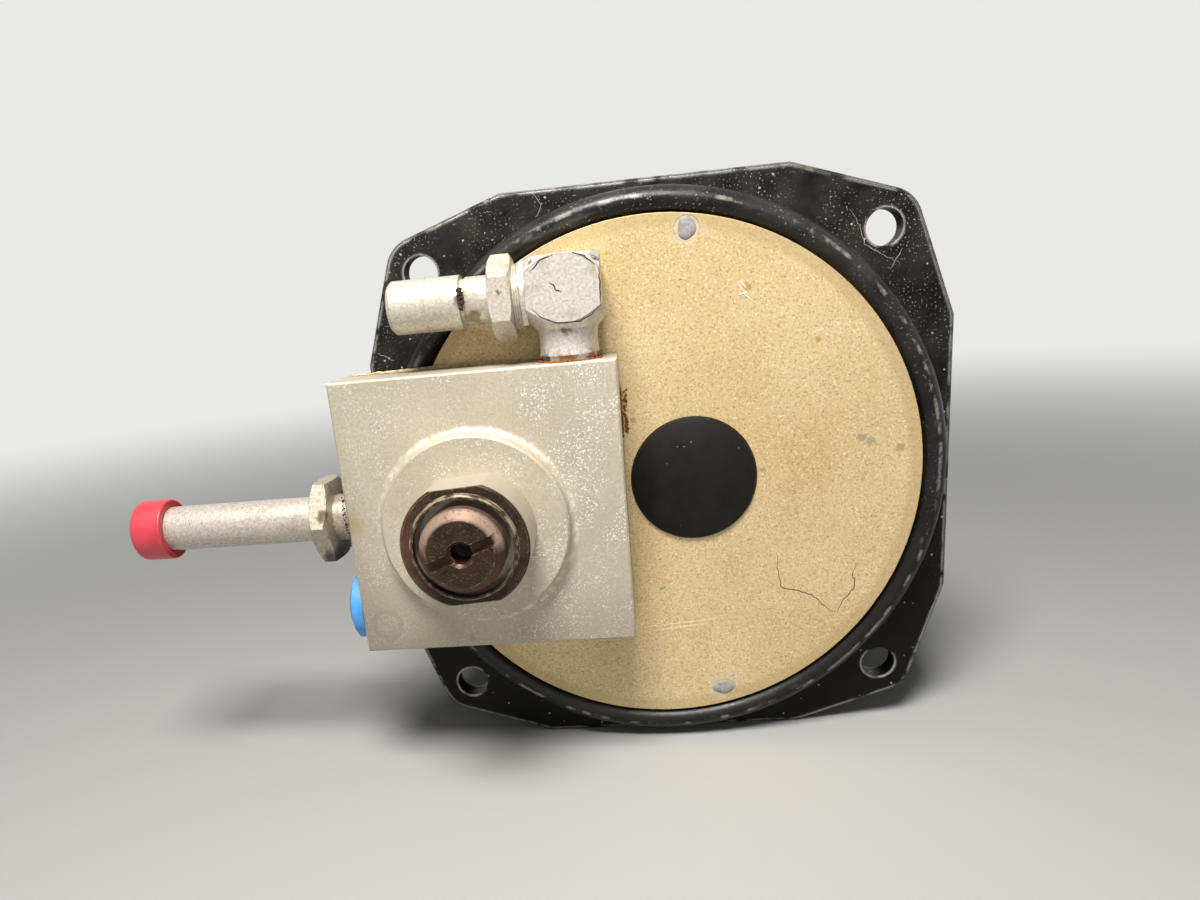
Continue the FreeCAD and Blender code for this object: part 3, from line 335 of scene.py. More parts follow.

# %% [markdown]
# ## Blasted aluminium
# The valve block is bare aluminium that was blasted with grit, which gives a dull beige grey with bright
# sparkles where a facet catches the light. White corrosion has started in the pits, mostly round the boss.
# Real facets that small would need millions of faces, so the sparkles are nearly white noise at two sizes,
# stronger on the right half. The block is also painted darker towards its bottom, which is painted shade.

# %% Blasted aluminium
block_front_y = -13.5
gland_axis = (-25.05, -2.0)
crust_ring = 13.3
ring_mark = (-39.5, -15.6)
yellow_stain = (-43.0, block_front_y, -0.6)
dark_pit = (-27.6, block_front_y, -18.3)

blasted, tree, shader, place = new_finish("blasted aluminium", IOR=1.5, Metallic=0.3)
base = tint(tree, "#C9BEAA", "#B8AD9A", clouds(tree, place, 16.0, 0.35, 0.65))
base = tint(tree, base, "#A89C86", clouds(tree, place, 0.5, 0.42, 0.7, 4.0), 0.55)
right_half = rise(tree, place, "X", -30.0, -8.0)
for size_mm, level, where_mm in ((0.22, 0.58, 4.0), (0.5, 0.64, 7.0)):
    sparkle = product(tree, clouds(tree, place, size_mm, level, level + 0.05, 2.0),
                      clouds(tree, place, where_mm, 0.42, 0.6))
    base = tint(tree, base, "#F7F4EE", sparkle, 0.45)
    base = tint(tree, base, "#FAF8F3", product(tree, sparkle, right_half), 0.65)
# painted shade: the block is painted darker towards its bottom
base = tint(tree, base, "#8E8373", rise(tree, place, "Z", -6.0, -19.5), 0.35)
streaks = add(tree, "ShaderNodeMapping", {"Vector": place, "Scale": (1.0, 1.0, 0.08)}).outputs[0]
base = tint(tree, base, "#A39A8A", product(tree, clouds(tree, streaks, 0.3, 0.5, 0.7), right_half,
                                           rise(tree, place, "Z", 4.0, 16.0)), 0.5)
base = tint(tree, base, "#F4EEE0", product(tree, near_circle(tree, place, gland_axis, crust_ring, 0.6),
                                           clouds(tree, place, 1.0, 0.45, 0.6, 6.0)), 0.4)
base = tint(tree, base, "#A9938A", near_circle(tree, place, ring_mark, 2.0, 0.5), 0.5)
base = tint(tree, base, "#B0985F", spot(tree, place, yellow_stain, 2.4), 0.5)
base = tint(tree, base, "#8C8270", spot(tree, place, dark_pit, 0.5), 0.6)
grain = clouds(tree, place, 0.3, 0.3, 0.7)
surface(tree, shader, base, grain, 0.42, 0.6, grain, 0.02)
print(blasted.name, "has", len(tree.nodes), "nodes")

# %% [markdown]
# ## Oxidised bronze
# The gland and its slotted seat have turned dark brown, redder at the left. The gland's side is painted
# pale grey as a painted reflection, and rubbing has kept the lip bare, so it is a pale copper colour. The
# upper part of the seat's cone has a painted highlight in a pale copper colour, and the groove and the
# lowest part are painted near black as painted shade. Both pieces are turned on one axis, so circles about
# that axis place each tone, from the slot out to the lip.

# %% Oxidised bronze
slot_radius, cone_radius, gap_radius, crust_radius, lip_radius = 2.1, 4.85, 5.9, 6.3, 6.8

bronze, tree, shader, place = new_finish("oxidised bronze", Metallic=0.5, Specular_IOR_Level=0.3)
base = tint(tree, "#3E3024", "#2A2118", clouds(tree, place, 1.6, 0.35, 0.65, 5.0))
base = tint(tree, base, "#6B4838", rise(tree, place, "X", -29.0, -33.0), 0.55)
base = tint(tree, base, "#806A4E", clouds(tree, place, 0.2, 0.56, 0.72), 0.5)
base = tint(tree, base, "#3E5044", product(tree, near_circle(tree, place, gland_axis, crust_radius, 0.9),
                                           clouds(tree, place, 0.8, 0.5, 0.64, 5.0)), 0.6)
# painted shade: the groove is painted near black
base = tint(tree, base, "#0B0907", near_circle(tree, place, gland_axis, gap_radius, 0.5), 0.9)
base = tint(tree, base, "#4E2C1C", product(tree, near_circle(tree, place, gland_axis, slot_radius, 3.2),
                                           rise(tree, place, "Y", -26.45, -26.25)), 0.6)
# painted shade: the lowest part of the gland and seat is painted near black
base = tint(tree, base, "#0E0B08", rise(tree, place, "Z", -7.0, -11.0), 0.6)
base = tint(tree, base, "#CDBFA0", product(tree, near_circle(tree, place, gland_axis, lip_radius, 0.2),
                                           clouds(tree, place, 1.6, 0.42, 0.6)), 0.6)
# painted highlight: a pale copper crescent on the upper part of the cone
base = tint(tree, base, "#B39783", product(tree, near_circle(tree, place, gland_axis, cone_radius, 0.75),
                                           rise(tree, place, "Z", -2.4, -0.6),
                                           clouds(tree, place, 0.5, 0.2, 0.45, 5.0)), 0.85)
base = tint(tree, base, "#6A4032", product(tree, near_circle(tree, place, gland_axis, 4.9, 0.7),
                                           rise(tree, place, "Z", -2.0, -5.0)), 0.6)
# painted reflection: the gland's side, behind its front, is painted pale grey
base = tint(tree, base, "#CFC5B6", rise(tree, place, "Y", -23.1, -22.8), 0.85)
base = tint(tree, base, "#D9B898", edge_wear(tree, place, 0.22, 0.8, 0.46, 0.66), 0.7)
surface(tree, shader, base, clouds(tree, place, 0.4, 0.3, 0.7), 0.32, 0.5,
        clouds(tree, place, 0.2, 0.3, 0.7), 0.008)
print(bronze.name, "has", len(tree.nodes), "nodes")

# %% [markdown]
# ## Plated fittings
# The elbow, nipple, tube and nut are plated or bare metal in four shades. They share one recipe: a mottled
# base, dark pits and brown grime, with only the colours and amounts changed. Stains are listed by place,
# and the broad dark one under the tube nut is painted shade.

# %% A recipe for plated and bare metal
metal_grain_mm = 0.35


def make_metal(name, bright, dull, grime, pits, roughness, metallic, stains=(), edge_dirt=0.0):
    """Two tones, grime, pits, dirt along the edges, and stains, each with its place, radius and colour."""
    material, tree, shader, place = new_finish(name, Metallic=metallic)
    base = tint(tree, bright, dull, clouds(tree, place, metal_grain_mm, 0.35, 0.7, 4.0))
    base = tint(tree, base, grime, clouds(tree, place, 2.5, 0.58, 0.75, 5.0), 0.6)
    base = tint(tree, base, "#3A332A", specks(tree, place, 0.32, pits, 0.33), 0.7)
    if edge_dirt:
        base = tint(tree, base, "#3F372D", edge_wear(tree, place, 0.3, 2.2, 0.42, 0.58), edge_dirt)
    for centre, radius, stain_colour in stains:
        base = tint(tree, base, stain_colour, spot(tree, place, centre, radius), 0.85)
    surface(tree, shader, base, clouds(tree, place, 0.6, 0.3, 0.7), roughness - 0.07, roughness + 0.08,
            clouds(tree, place, metal_grain_mm, 0.3, 0.7), 0.012)
    return material


# %% Plated fittings and inner metals
elbow_stains = (((-6.4, -12.8, 31.0), 0.8, "#2E2821"), ((-6.3, -12.9, 23.2), 1.0, "#1E1A15"),
                ((-11.0, -12.4, 22.6), 0.9, "#6E5B3C"), ((-14.6, -12.8, 30.9), 0.5, "#4A4036"))
foot_stains = (((-10.9, -12.0, 19.0), 1.5, "#B3722C"), ((-8.0, -11.0, 18.9), 1.2, "#8C5420"),
               ((-13.6, -11.0, 19.2), 1.0, "#3A2C1C"))
nipple_stains = (((-24.0, -12.2, 27.5), 0.9, "#1F1A13"), ((-32.4, -11.6, 25.9), 0.5, "#4B3F2C"),
                 ((-22.6, -11.0, 25.2), 1.6, "#7C6E54"), ((-18.9, -13.4, 27.9), 0.5, "#6B5F4E"))
# the last stain, broad and dark under the nut, is painted shade on its lower facets
nut_stains_and_shade = (((-46.1, -14.0, 1.0), 1.2, "#4A3322"), ((-46.4, -13.4, 4.9), 0.8, "#6A4426"),
              ((-47.5, -13.6, -0.5), 0.9, "#33271C"), ((-46.0, -11.5, -6.0), 3.0, "#2A241D"))
nickel = make_metal("bright plated forging", "#DFD9D0", "#BDB4A9", "#A8987E", 0.06, 0.38, 0.4,
                    elbow_stains + foot_stains, 0.75)
zinc = make_metal("pale zinc plate", "#DBD5C6", "#BBB19D", "#A48F63", 0.08, 0.38, 0.4, nipple_stains, 0.25)
nut_steel = make_metal("grimy plated steel", "#BEB5A5", "#978C7B", "#6E5236", 0.14, 0.42, 0.5,
                       nut_stains_and_shade, 0.4)
tube_metal = make_metal("pitted aluminium tube", "#D0C7BB", "#AFA598", "#9A8672", 0.24, 0.42, 0.45)
steel = make_metal("bright steel", "#C2C2C0", "#A9A9A8", "#8A8578", 0.02, 0.3, 1.0)
machined = make_metal("machined aluminium", "#D6D7D8", "#C4C5C7", "#B9B6AE", 0.0, 0.32, 1.0)
brass = make_metal("turned brass", "#CFA45A", "#B98D48", "#8F7040", 0.0, 0.28, 1.0)
sintered = make_metal("sintered bronze", "#A87848", "#8E6238", "#6C4A2C", 0.1, 0.45, 0.9)
iron = make_metal("laminated iron", "#5B5B5E", "#444447", "#3A3530", 0.05, 0.45, 0.9)
gilt = make_metal("gold plated contact", "#E3BC62", "#D2A94E", "#B8924A", 0.0, 0.2, 1.0)
olive = make_metal("olive cadmium plate", "#74744E", "#5F603F", "#4A4632", 0.03, 0.4, 0.6)
bare_scratch = make_metal("freshly scratched metal", "#F4EFE2", "#DDD5C2", "#C9BD9F", 0.0, 0.45, 0.2)
print("finishes so far:", len(bpy.data.materials))

# %% [markdown]
# ## Plastics, sealant and rust
# The plugs and the cap are moulded. Moulded plastic is smooth, so a soft highlight shows its form, with
# fine scratches and dust that roughen it. Vinyl lets a little light in under its surface. Sealant, rust
# and dark dirt are matt, so they take the same recipe with more roughness. The dark dirt finish also
# draws a painted shadow line on the block.

# %% Plastics, sealant and rust
def make_plastic(name, main, second, roughness, dust, subsurface=0.0, grain_mm=3.0, shine=0.2):
    """Moulded plastic or a matt deposit: two close tones, dust specks and a slightly uneven gloss."""
    material, tree, shader, place = new_finish(name, IOR=1.49, Specular_IOR_Level=shine,
                                               Subsurface_Weight=subsurface,
                                               Subsurface_Radius=(1.0 * MM, 0.4 * MM, 0.3 * MM))
    base = tint(tree, main, second, clouds(tree, place, grain_mm, 0.35, 0.65))
    base = tint(tree, base, "#A9A39A", specks(tree, place, 0.5, dust, 0.25), 0.5)
    surface(tree, shader, base, clouds(tree, place, 1.2, 0.3, 0.7), roughness - 0.06, roughness + 0.08,
            clouds(tree, place, 0.3, 0.3, 0.7), 0.006)
    return material


black_nylon = make_plastic("moulded black nylon", "#110F0C", "#1A1713", 0.46, 0.1)
red_vinyl = make_plastic("dipped red vinyl", "#CF3B47", "#C02B38", 0.42, 0.02, 0.08, shine=0.9)
blue_poly = make_plastic("blue polyethylene", "#4590D6", "#5CA0DF", 0.4, 0.01, 0.08, shine=0.5)
rubber = make_plastic("black seal rubber", "#1B1A18", "#262421", 0.7, 0.04)
graphite = make_plastic("graphite", "#2E2E30", "#252527", 0.45, 0.0)
insulator = make_plastic("moulded insulator", "#23251F", "#2C2E28", 0.5, 0.03)
sealant = make_plastic("grey sealant", "#A7A29F", "#8A8785", 0.6, 0.2, grain_mm=0.5)
cream_sealant = make_plastic("cream sealant", "#DCCBA2", "#B79A5F", 0.6, 0.05, grain_mm=0.9)
rust = make_plastic("rust", "#A0682C", "#643A1A", 0.8, 0.0, grain_mm=0.4)
dirt_and_shadow = make_plastic("dark dirt and painted shadow", "#4A3E2C", "#2B241B", 0.8, 0.0, grain_mm=0.5)
lint = make_plastic("pale lint", "#B7B0A6", "#8F8980", 0.8, 0.0, grain_mm=0.6)
print("finishes for the object:", len(bpy.data.materials))

# %% [markdown]
# ## Rounded edges
# A CAD edge is perfectly sharp and never catches the light. Each node that shows is copied, welded and
# given a real bevel, and the copy stands for the node. The copy keeps the node's size, because a bevel
# only takes material away. The ring is round already and seals are soft, so those get no bevel.

# %% Helpers for pieces and rounded edges
weld_mm = 0.0005
flat_degrees = 0.4
sharp_degrees = 28


def new_piece(name, mesh, finish, node):
    """An object at the origin with its finish, riding on the body of a CAD node."""
    piece = bpy.data.objects.new(name, mesh)
    bpy.context.scene.collection.objects.link(piece)
    piece.data.materials.clear()
    piece.data.materials.append(finish)
    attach(piece, frame["nodes"][node]["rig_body"])
    return piece


def rounded(node, finish, edge_mm):
    """A copy of a CAD node with bevelled edges, which stands for the node."""
    shape = bmesh.new()
    shape.from_mesh(frame["nodes"][node].data)
    bmesh.ops.remove_doubles(shape, verts=shape.verts, dist=weld_mm * MM)
    bmesh.ops.dissolve_limit(shape, angle_limit=math.radians(flat_degrees), verts=shape.verts,
                             edges=shape.edges)
    mesh = bpy.data.meshes.new(node + "_finished")
    shape.to_mesh(mesh)
    shape.free()
    mesh.shade_smooth()
    mesh.set_sharp_from_angle(angle=math.radians(sharp_degrees))
    piece = new_piece(node + "_finished", mesh, finish, node)
    if edge_mm:
        bevel = piece.modifiers.new("edges", "BEVEL")
        bevel.width = edge_mm * MM
        bevel.segments = 2
        bevel.limit_method = "ANGLE"
        bevel.angle_limit = math.radians(sharp_degrees)
        bevel.harden_normals = True
    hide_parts(node)


# %% Round the edges of the outer nodes
outside = {
    "mounting_flange": (enamel, 0.25), "case_can": (fresh_enamel, 0.2),
    "retaining_ring": (ring_enamel, 0.0), "end_plate": (gold, 0.12),
    "valve_block": (blasted, 0.12), "block_seal": (rubber, 0.0),
    "hex_gland": (bronze, 0.1), "slotted_seat": (bronze, 0.06), "hole_plug": (black_nylon, 0.1),
    "elbow": (nickel, 0.12), "hose_nipple": (zinc, 0.12), "tube_fitting": (nut_steel, 0.12),
    "air_tube": (tube_metal, 0.08), "tube_cap": (red_vinyl, 0.3), "port_plug": (blue_poly, 0.15),
    "rear_cover": (fresh_enamel, 0.15), "cover_seal": (rubber, 0.0), "cover_screws": (steel, 0.06),
    "receptacle_shell": (olive, 0.12), "receptacle_screws": (steel, 0.05),
    "receptacle_insert": (insulator, 0.05), "receptacle_contacts": (gilt, 0.04),
}
for node, (finish, edge_mm) in outside.items():
    rounded(node, finish, edge_mm)
print(len(outside), "nodes have rounded edges")

# %% [markdown]
# ## The mechanism inside
# The gyro, its frame and the rotary valve can't be seen while the can is closed, and sealant hides two
# screws in the plate, so their CAD shapes are good enough. They still get their real metals, for whoever
# takes the object apart.

# %% Finish the inner nodes
inside = {
    "plate_seal": rubber, "block_screws": steel, "poppet": steel, "regulator_spring": steel,
    "valve_rotor": steel, "valve_crank": steel, "front_bridge": machined, "rear_bridge": machined,
    "front_spacers": machined, "frame_posts": steel, "post_nuts": steel, "gimbal_bearings": sintered,
    "gimbal_frame": machined, "gimbal_pivots": steel, "drive_pin": steel, "rotor_bearings": sintered,
    "rotor_wheel": brass, "rotor_shaft": steel, "motor_stator": iron, "link_rod": steel,
    "damper_piston": graphite, "damper_cylinder": machined, "centring_spring": steel,
    "sealed_screws": gold,
}
for node, finish in inside.items():
    node_object = frame["nodes"][node]
    node_object.data.materials.clear()
    node_object.data.materials.append(finish)
print(len(inside), "inner nodes have their metals")

# %% [markdown]
# ## Screw thread and hose ridge
# The nipple's thread shows for a millimetre between its hexagon and the elbow, and a low ridge runs round
# its barrel. Both are rings on one axis, so one Geometry Nodes tree makes them: a line of points, with a
# ring on each.

# %% Helpers for Geometry Nodes trees
def new_tree(name, **inputs):
    """A Geometry Nodes tree with named inputs; returns the tree and the sockets of its inputs."""
    tree = bpy.data.node_groups.new(name, "GeometryNodeTree")
    tree.is_modifier = True
    tree.interface.new_socket("Geometry", in_out="INPUT", socket_type="NodeSocketGeometry")
    tree.interface.new_socket("Geometry", in_out="OUTPUT", socket_type="NodeSocketGeometry")
    for label, kind in inputs.items():
        tree.interface.new_socket(label.replace("_", " "), in_out="INPUT", socket_type="NodeSocket" + kind)
    return tree, add(tree, "NodeGroupInput").outputs


def finish_tree(tree, instances, finish):
    """End a tree in real geometry with its material."""
    real = add(tree, "GeometryNodeRealizeInstances", {0: instances})
    painted = add(tree, "GeometryNodeSetMaterial", {"Geometry": real.outputs[0], "Material": finish})
    add(tree, "NodeGroupOutput", {0: painted.outputs[0]})


def grown(name, path_points, tree, node, **values):
    """Run a tree on a path and keep its plain mesh as one piece; all but whole numbers are millimetres."""
    path = bpy.data.meshes.new(name)
    path.from_pydata([tuple(c * MM for c in p) for p in path_points],
                     [(k, k + 1) for k in range(len(path_points) - 1)], [])
    holder = bpy.data.objects.new(name + "_path", path)
    bpy.context.scene.collection.objects.link(holder)
    modifier = holder.modifiers.new("grow", "NODES")
    modifier.node_group = tree
    sockets = {item.name: item.identifier for item in tree.interface.items_tree if item.in_out == "INPUT"}
    for label, value in values.items():
        if isinstance(value, float):
            value = value * MM
        elif isinstance(value, tuple):
            value = tuple(c * MM for c in value)
        modifier[sockets[label.replace("_", " ")]] = value
    result = holder.evaluated_get(bpy.context.evaluated_depsgraph_get())
    mesh = bpy.data.meshes.new_from_object(result)
    mesh.name = name
    bpy.data.objects.remove(holder)
    mesh.shade_smooth()
    print(name, "has", len(mesh.polygons), "faces")
    new_piece(name, mesh, values["Finish"], node)


# %% A tree that puts rings along an axis
ring_sides, wire_sides = 64, 8
rings_tree, given = new_tree("rings along an axis", Start="Vector", Pitch="Float", Count="Int",
                             Radius="Float", Wire="Float", Finish="Material")
step = add(rings_tree, "ShaderNodeCombineXYZ", {"X": given["Pitch"]}).outputs[0]
line = add(rings_tree, "GeometryNodeMeshLine", {"Count": given["Count"], "Start Location": given["Start"],
                                                "Offset": step})
circle = add(rings_tree, "GeometryNodeCurvePrimitiveCircle", {"Resolution": ring_sides,
                                                              "Radius": given["Radius"]})
wire = add(rings_tree, "GeometryNodeCurvePrimitiveCircle", {"Resolution": wire_sides,
                                                            "Radius": given["Wire"]})
ring = add(rings_tree, "GeometryNodeCurveToMesh", {"Curve": circle.outputs[0],
                                                   "Profile Curve": wire.outputs[0]})
rings = add(rings_tree, "GeometryNodeInstanceOnPoints",
            {"Points": line.outputs[0], "Instance": ring.outputs[0], "Rotation": (0, math.radians(90), 0)})
finish_tree(rings_tree, rings.outputs[0], given["Finish"])
print(rings_tree.name, "has", len(rings_tree.nodes), "nodes")

# %% Thread and ridge of the nipple
elbow_axis_y, elbow_axis_z = -8.85, 27.1
grown("nipple_thread", [(0, 0, 0)], rings_tree, "hose_nipple", Start=(-17.2, elbow_axis_y, elbow_axis_z),
      Pitch=0.32, Count=3, Radius=4.02, Wire=0.14, Finish=zinc)
grown("barrel_ridge", [(0, 0, 0)], rings_tree, "hose_nipple", Start=(-28.9, elbow_axis_y, elbow_axis_z),
      Pitch=0.5, Count=1, Radius=3.35, Wire=0.2, Finish=zinc)

# %% [markdown]
# ## Rust and dirt crumbs
# Rust has crept out round the elbow's foot and down the block's right edge, and dirt sits round the tube's
# hexagon. A second tree scatters small crumbs along a path, with their sizes and turns taken from a fixed
# seed. A crumb has 20 faces, so hundreds of them stay cheap.

# %% A tree that scatters crumbs along a path
crumb_tree, given = new_tree("crumbs along a path", Count="Int", Crumb_size="Float", Spread="Vector",
                             Seed="Int", Finish="Material")
path = add(crumb_tree, "GeometryNodeMeshToCurve", {0: given["Geometry"]})
points = add(crumb_tree, "GeometryNodeCurveToPoints", {"Curve": path.outputs[0], "Count": given["Count"]},
             mode="COUNT")
throw = add(crumb_tree, "FunctionNodeRandomValue", {0: (-1, -1, -1), 1: (1, 1, 1), "Seed": given["Seed"]},
            data_type="FLOAT_VECTOR")
shift = add(crumb_tree, "ShaderNodeVectorMath", {0: throw.outputs[0], 1: given["Spread"]},
            operation="MULTIPLY")
moved = add(crumb_tree, "GeometryNodeSetPosition", {"Geometry": points.outputs["Points"],
                                                    "Offset": shift.outputs[0]})
share = add(crumb_tree, "FunctionNodeRandomValue", {2: 0.3, 3: 1.0, "Seed": given["Seed"]},
            data_type="FLOAT")
size = product(crumb_tree, share.outputs[1], given["Crumb size"])
crumb = add(crumb_tree, "GeometryNodeMeshIcoSphere", {"Radius": 1.0, "Subdivisions": 1})
crumbs = add(crumb_tree, "GeometryNodeInstanceOnPoints", {"Points": moved.outputs[0],
                                                          "Instance": crumb.outputs[0],
                                                          "Rotation": throw.outputs[0], "Scale": size})
finish_tree(crumb_tree, crumbs.outputs[0], given["Finish"])
print(crumb_tree.name, "has", len(crumb_tree.nodes), "nodes")

# %% Crumbs where the real ones are
foot_x = -10.9
foot_radius = 3.75
block_top_z = 18.55
foot_path = [(foot_x + foot_radius * math.cos(a), elbow_axis_y + foot_radius * math.sin(a), block_top_z)
             for a in (math.radians(d) for d in range(-200, 25, 9))]
grown("rust_at_foot", foot_path, crumb_tree, "valve_block", Count=170, Crumb_size=0.32,
      Spread=(0.4, 0.4, 0.06), Seed=3, Finish=rust)
grown("dirt_on_barrel", [(-24.1, -11.9, 28.9), (-24.0, -12.3, 27.6), (-24.1, -12.3, 26.4)], crumb_tree,
      "hose_nipple", Count=46, Crumb_size=0.26, Spread=(0.3, 0.06, 0.25), Seed=11, Finish=dirt_and_shadow)
grown("rust_on_block_edge", [(-4.75, -5.5, 13.6), (-4.75, -7.0, 10.5), (-4.75, -5.5, 7.6)], crumb_tree,
      "valve_block", Count=90, Crumb_size=0.3, Spread=(0.05, 1.3, 0.5), Seed=5, Finish=rust)
grown("rust_on_plate",
      [(-4.1, plate_front_y, 13.4), (-4.3, plate_front_y, 10.0), (-4.1, plate_front_y, 7.5)],
      crumb_tree, "end_plate", Count=55, Crumb_size=0.24, Spread=(0.22, 0.03, 0.6), Seed=6, Finish=rust)
grown("dirt_at_tube_nut", [(-43.1, -13.0, 3.8), (-43.1, -13.9, 1.0), (-43.1, -12.6, -4.0)], crumb_tree,
      "tube_fitting", Count=90, Crumb_size=0.15, Spread=(0.12, 0.5, 0.8), Seed=8, Finish=dirt_and_shadow)

# %% [markdown]
# ## Hairline crack, scratches, the bead of sealant and a painted shadow line
# A dark crack wanders over the plate, bright scratches show where tools slipped, and a thin bead of cream
# sealant follows the block's top back edge. A dark line beside the bead on the block's top is a painted
# shadow of the gap there. Each is a curve with a round section that is half sunk in its surface. A fixed
# random shake keeps the lines from looking ruled.

# %% Helpers for lines on a surface
point_gap_mm = 0.5


def strands(name, runs, thick_mm, finish, node, shake_mm=0.12):
    """Thin lines half sunk in a surface; each run is a list of (x, y, z) in millimetres."""
    chance = random.Random(1)
    curve = bpy.data.curves.new(name, "CURVE")
    curve.dimensions = "3D"
    curve.bevel_depth = thick_mm / 2 * MM
    curve.bevel_resolution = 1
    curve.use_fill_caps = True
    for run in runs:
        fine = []
        for a, b in zip(run, run[1:]):
            parts = max(2, round((Vector(b) - Vector(a)).length / point_gap_mm))
            fine += [Vector(a).lerp(Vector(b), k / parts) for k in range(parts)]
        fine.append(Vector(run[-1]))
        line = curve.splines.new("POLY")
        line.points.add(len(fine) - 1)
        flat_axis = min(range(3), key=lambda k: max(p[k] for p in fine) - min(p[k] for p in fine))
        for number, (point, spline_point) in enumerate(zip(fine, line.points)):
            shake = Vector([0 if k == flat_axis else chance.uniform(-shake_mm, shake_mm) for k in range(3)])
            spline_point.co = (*((point + shake) * MM), 1)
            spline_point.radius = 0.3 + 0.7 * math.sin(math.pi * (number + 0.6) / (len(fine) + 0.2))
    holder = bpy.data.objects.new(name + "_curve", curve)
    bpy.context.scene.collection.objects.link(holder)
    mesh = bpy.data.meshes.new_from_object(holder.evaluated_get(bpy.context.evaluated_depsgraph_get()))
    mesh.name = name
    bpy.data.objects.remove(holder)
    mesh.shade_smooth()
    print(name, "has", len(mesh.polygons), "faces")
    new_piece(name, mesh, finish, node)


def on_y(y, *runs):
    """Runs of points (x, z) put on a plane across Y."""
    return [[(x, y, z) for x, z in run] for run in runs]


# %% Crack and scratches in the plate
strands("plate_crack",
        on_y(plate_front_y,
             ((16.1, -11.7), (16.2, -14.9), (16.7, -17.1), (19.1, -17.6), (21.2, -18.7), (22.7, -20.4),
              (24.5, -21.5)),
             ((24.5, -21.5), (25.2, -19.8), (26.8, -17.9), (27.0, -16.4), (26.5, -15.9), (27.2, -14.0))),
        0.13, dirt_and_shadow, "end_plate")
strands("plate_scratches",
        on_y(plate_front_y, ((11.6, 26.1), (13.2, 23.8)), ((12.1, 26.3), (12.6, 25.5)),
             ((11.9, 24.6), (12.9, 24.9))),
        0.22, bare_scratch, "end_plate")
strands("plate_fine_scratches",
        on_y(plate_front_y, ((-3.5, -22.1), (6.8, -21.4)), ((-2.5, -22.8), (5.9, -22.0)),
             ((15.1, 15.7), (18.9, 13.4)), ((19.8, 12.3), (23.7, 9.7))),
        0.06, bare_scratch, "end_plate", shake_mm=0.02)

# %% Fibres on the flange
flange_front_y = 0
strands("flange_fibre",
        on_y(flange_front_y, ((27.0, 34.0), (28.0, 32.4), (28.9, 29.5), (33.5, 26.6)),
             ((32.1, 25.9), (33.8, 28.5)), ((-14.8, 40.5), (-13.7, 38.7), (-14.5, 37.2)),
             ((-39.2, 21.1), (-37.0, 19.8)), ((-29.0, -27.3), (-26.1, -29.7))),
        0.09, lint, "mounting_flange")

# %% Bead of sealant and a painted shadow line on the block
strands("block_bead",
        [[(-42.2, -4.4, 18.62), (-34.0, -4.35, 18.66), (-26.0, -4.4, 18.7), (-17.0, -4.4, 18.64)]],
        0.62, cream_sealant, "valve_block", shake_mm=0.08)
# painted shadow: a dark line on the block's top, where the gap behind the bead lies in shade
strands("block_shadow_line",
        [[(-42.0, -5.2, block_top_z), (-30.0, -5.9, block_top_z), (-16.0, -7.0, block_top_z)]],
        0.16, dirt_and_shadow, "valve_block")

# %% Nick and grime on the elbow
elbow_nick_y, elbow_face_y = -13.61, -13.58
strands("elbow_nick", on_y(elbow_nick_y, ((-12.4, 28.4), (-11.9, 28.1), (-11.7, 27.5), (-11.1, 27.3))),
        0.2, dirt_and_shadow, "elbow", shake_mm=0.03)
strands("elbow_grime",
        on_y(elbow_face_y, ((-9.3, 31.7), (-7.9, 31.2), (-6.6, 30.0)),
             ((-6.25, 29.6), (-6.2, 27.5), (-6.3, 25.2)),
             ((-15.2, 25.7), (-13.7, 24.3), (-11.9, 23.5), (-9.0, 23.5), (-7.5, 24.2), (-6.3, 25.2)),
             ((-14.7, 29.9), (-13.3, 31.2), (-11.7, 31.7))),
        0.2, dirt_and_shadow, "elbow", shake_mm=0.06)

# %% [markdown]
# ## Two spots of sealant
# Grey sealant covers two flush screws in the plate. Each spot is a low dome with an uneven rim. It is
# built from rings of points that rise to the middle, with a flat underside that closes it.

# %% A helper for domes
dome_steps = 5
dome_sides = 36
dome_rise_mm = 0.28


def dome(shape, centre, half_width, half_height, chance):
    """Add a low closed dome that faces -Y to a bmesh; sizes in millimetres."""
    waves = [(chance.randint(2, 6), chance.uniform(0, 6.28), chance.uniform(0.02, 0.08)) for _ in range(4)]
    rings = []
    for step in range(dome_steps):
        reach = math.cos(math.pi / 2 * step / dome_steps)
        lift = dome_rise_mm * math.sin(math.pi / 2 * step / dome_steps)
        ring = []
        for side in range(dome_sides):
            angle = 2 * math.pi * side / dome_sides
            wobble = 1 + sum(size * math.sin(turns * angle + start) for turns, start, size in waves)
            across = half_width * reach * wobble * math.cos(angle)
            up = half_height * reach * wobble * math.sin(angle)
            corner = Vector((centre[0] + across, centre[1] - lift, centre[2] + up)) * MM
            ring.append(shape.verts.new(corner))
        rings.append(ring)
    for lower, upper_dust_and_sheen in zip(rings, rings[1:]):
        for side in range(dome_sides):
            after = (side + 1) % dome_sides
            shape.faces.new((lower[side], lower[after], upper_dust_and_sheen[after], upper_dust_and_sheen[side]))
    shape.faces.new(rings[-1])
    shape.faces.new(list(reversed(rings[0])))


# %% Domes of sealant
sealant_foot_y = plate_front_y + 0.02

spots_shape = bmesh.new()
chance = random.Random(4)
dome(spots_shape, (5.3, sealant_foot_y, 33.7), 1.15, 1.6, chance)
dome(spots_shape, (7.8, sealant_foot_y, -32.6), 1.65, 1.05, chance)
bmesh.ops.recalc_face_normals(spots_shape, faces=spots_shape.faces)
spots_mesh = bpy.data.meshes.new("sealant_spots")
spots_shape.to_mesh(spots_mesh)
spots_shape.free()
spots_mesh.shade_smooth()
new_piece("sealant_spots", spots_mesh, sealant, "sealed_screws")
print("sealant_spots has", len(spots_mesh.polygons), "faces")

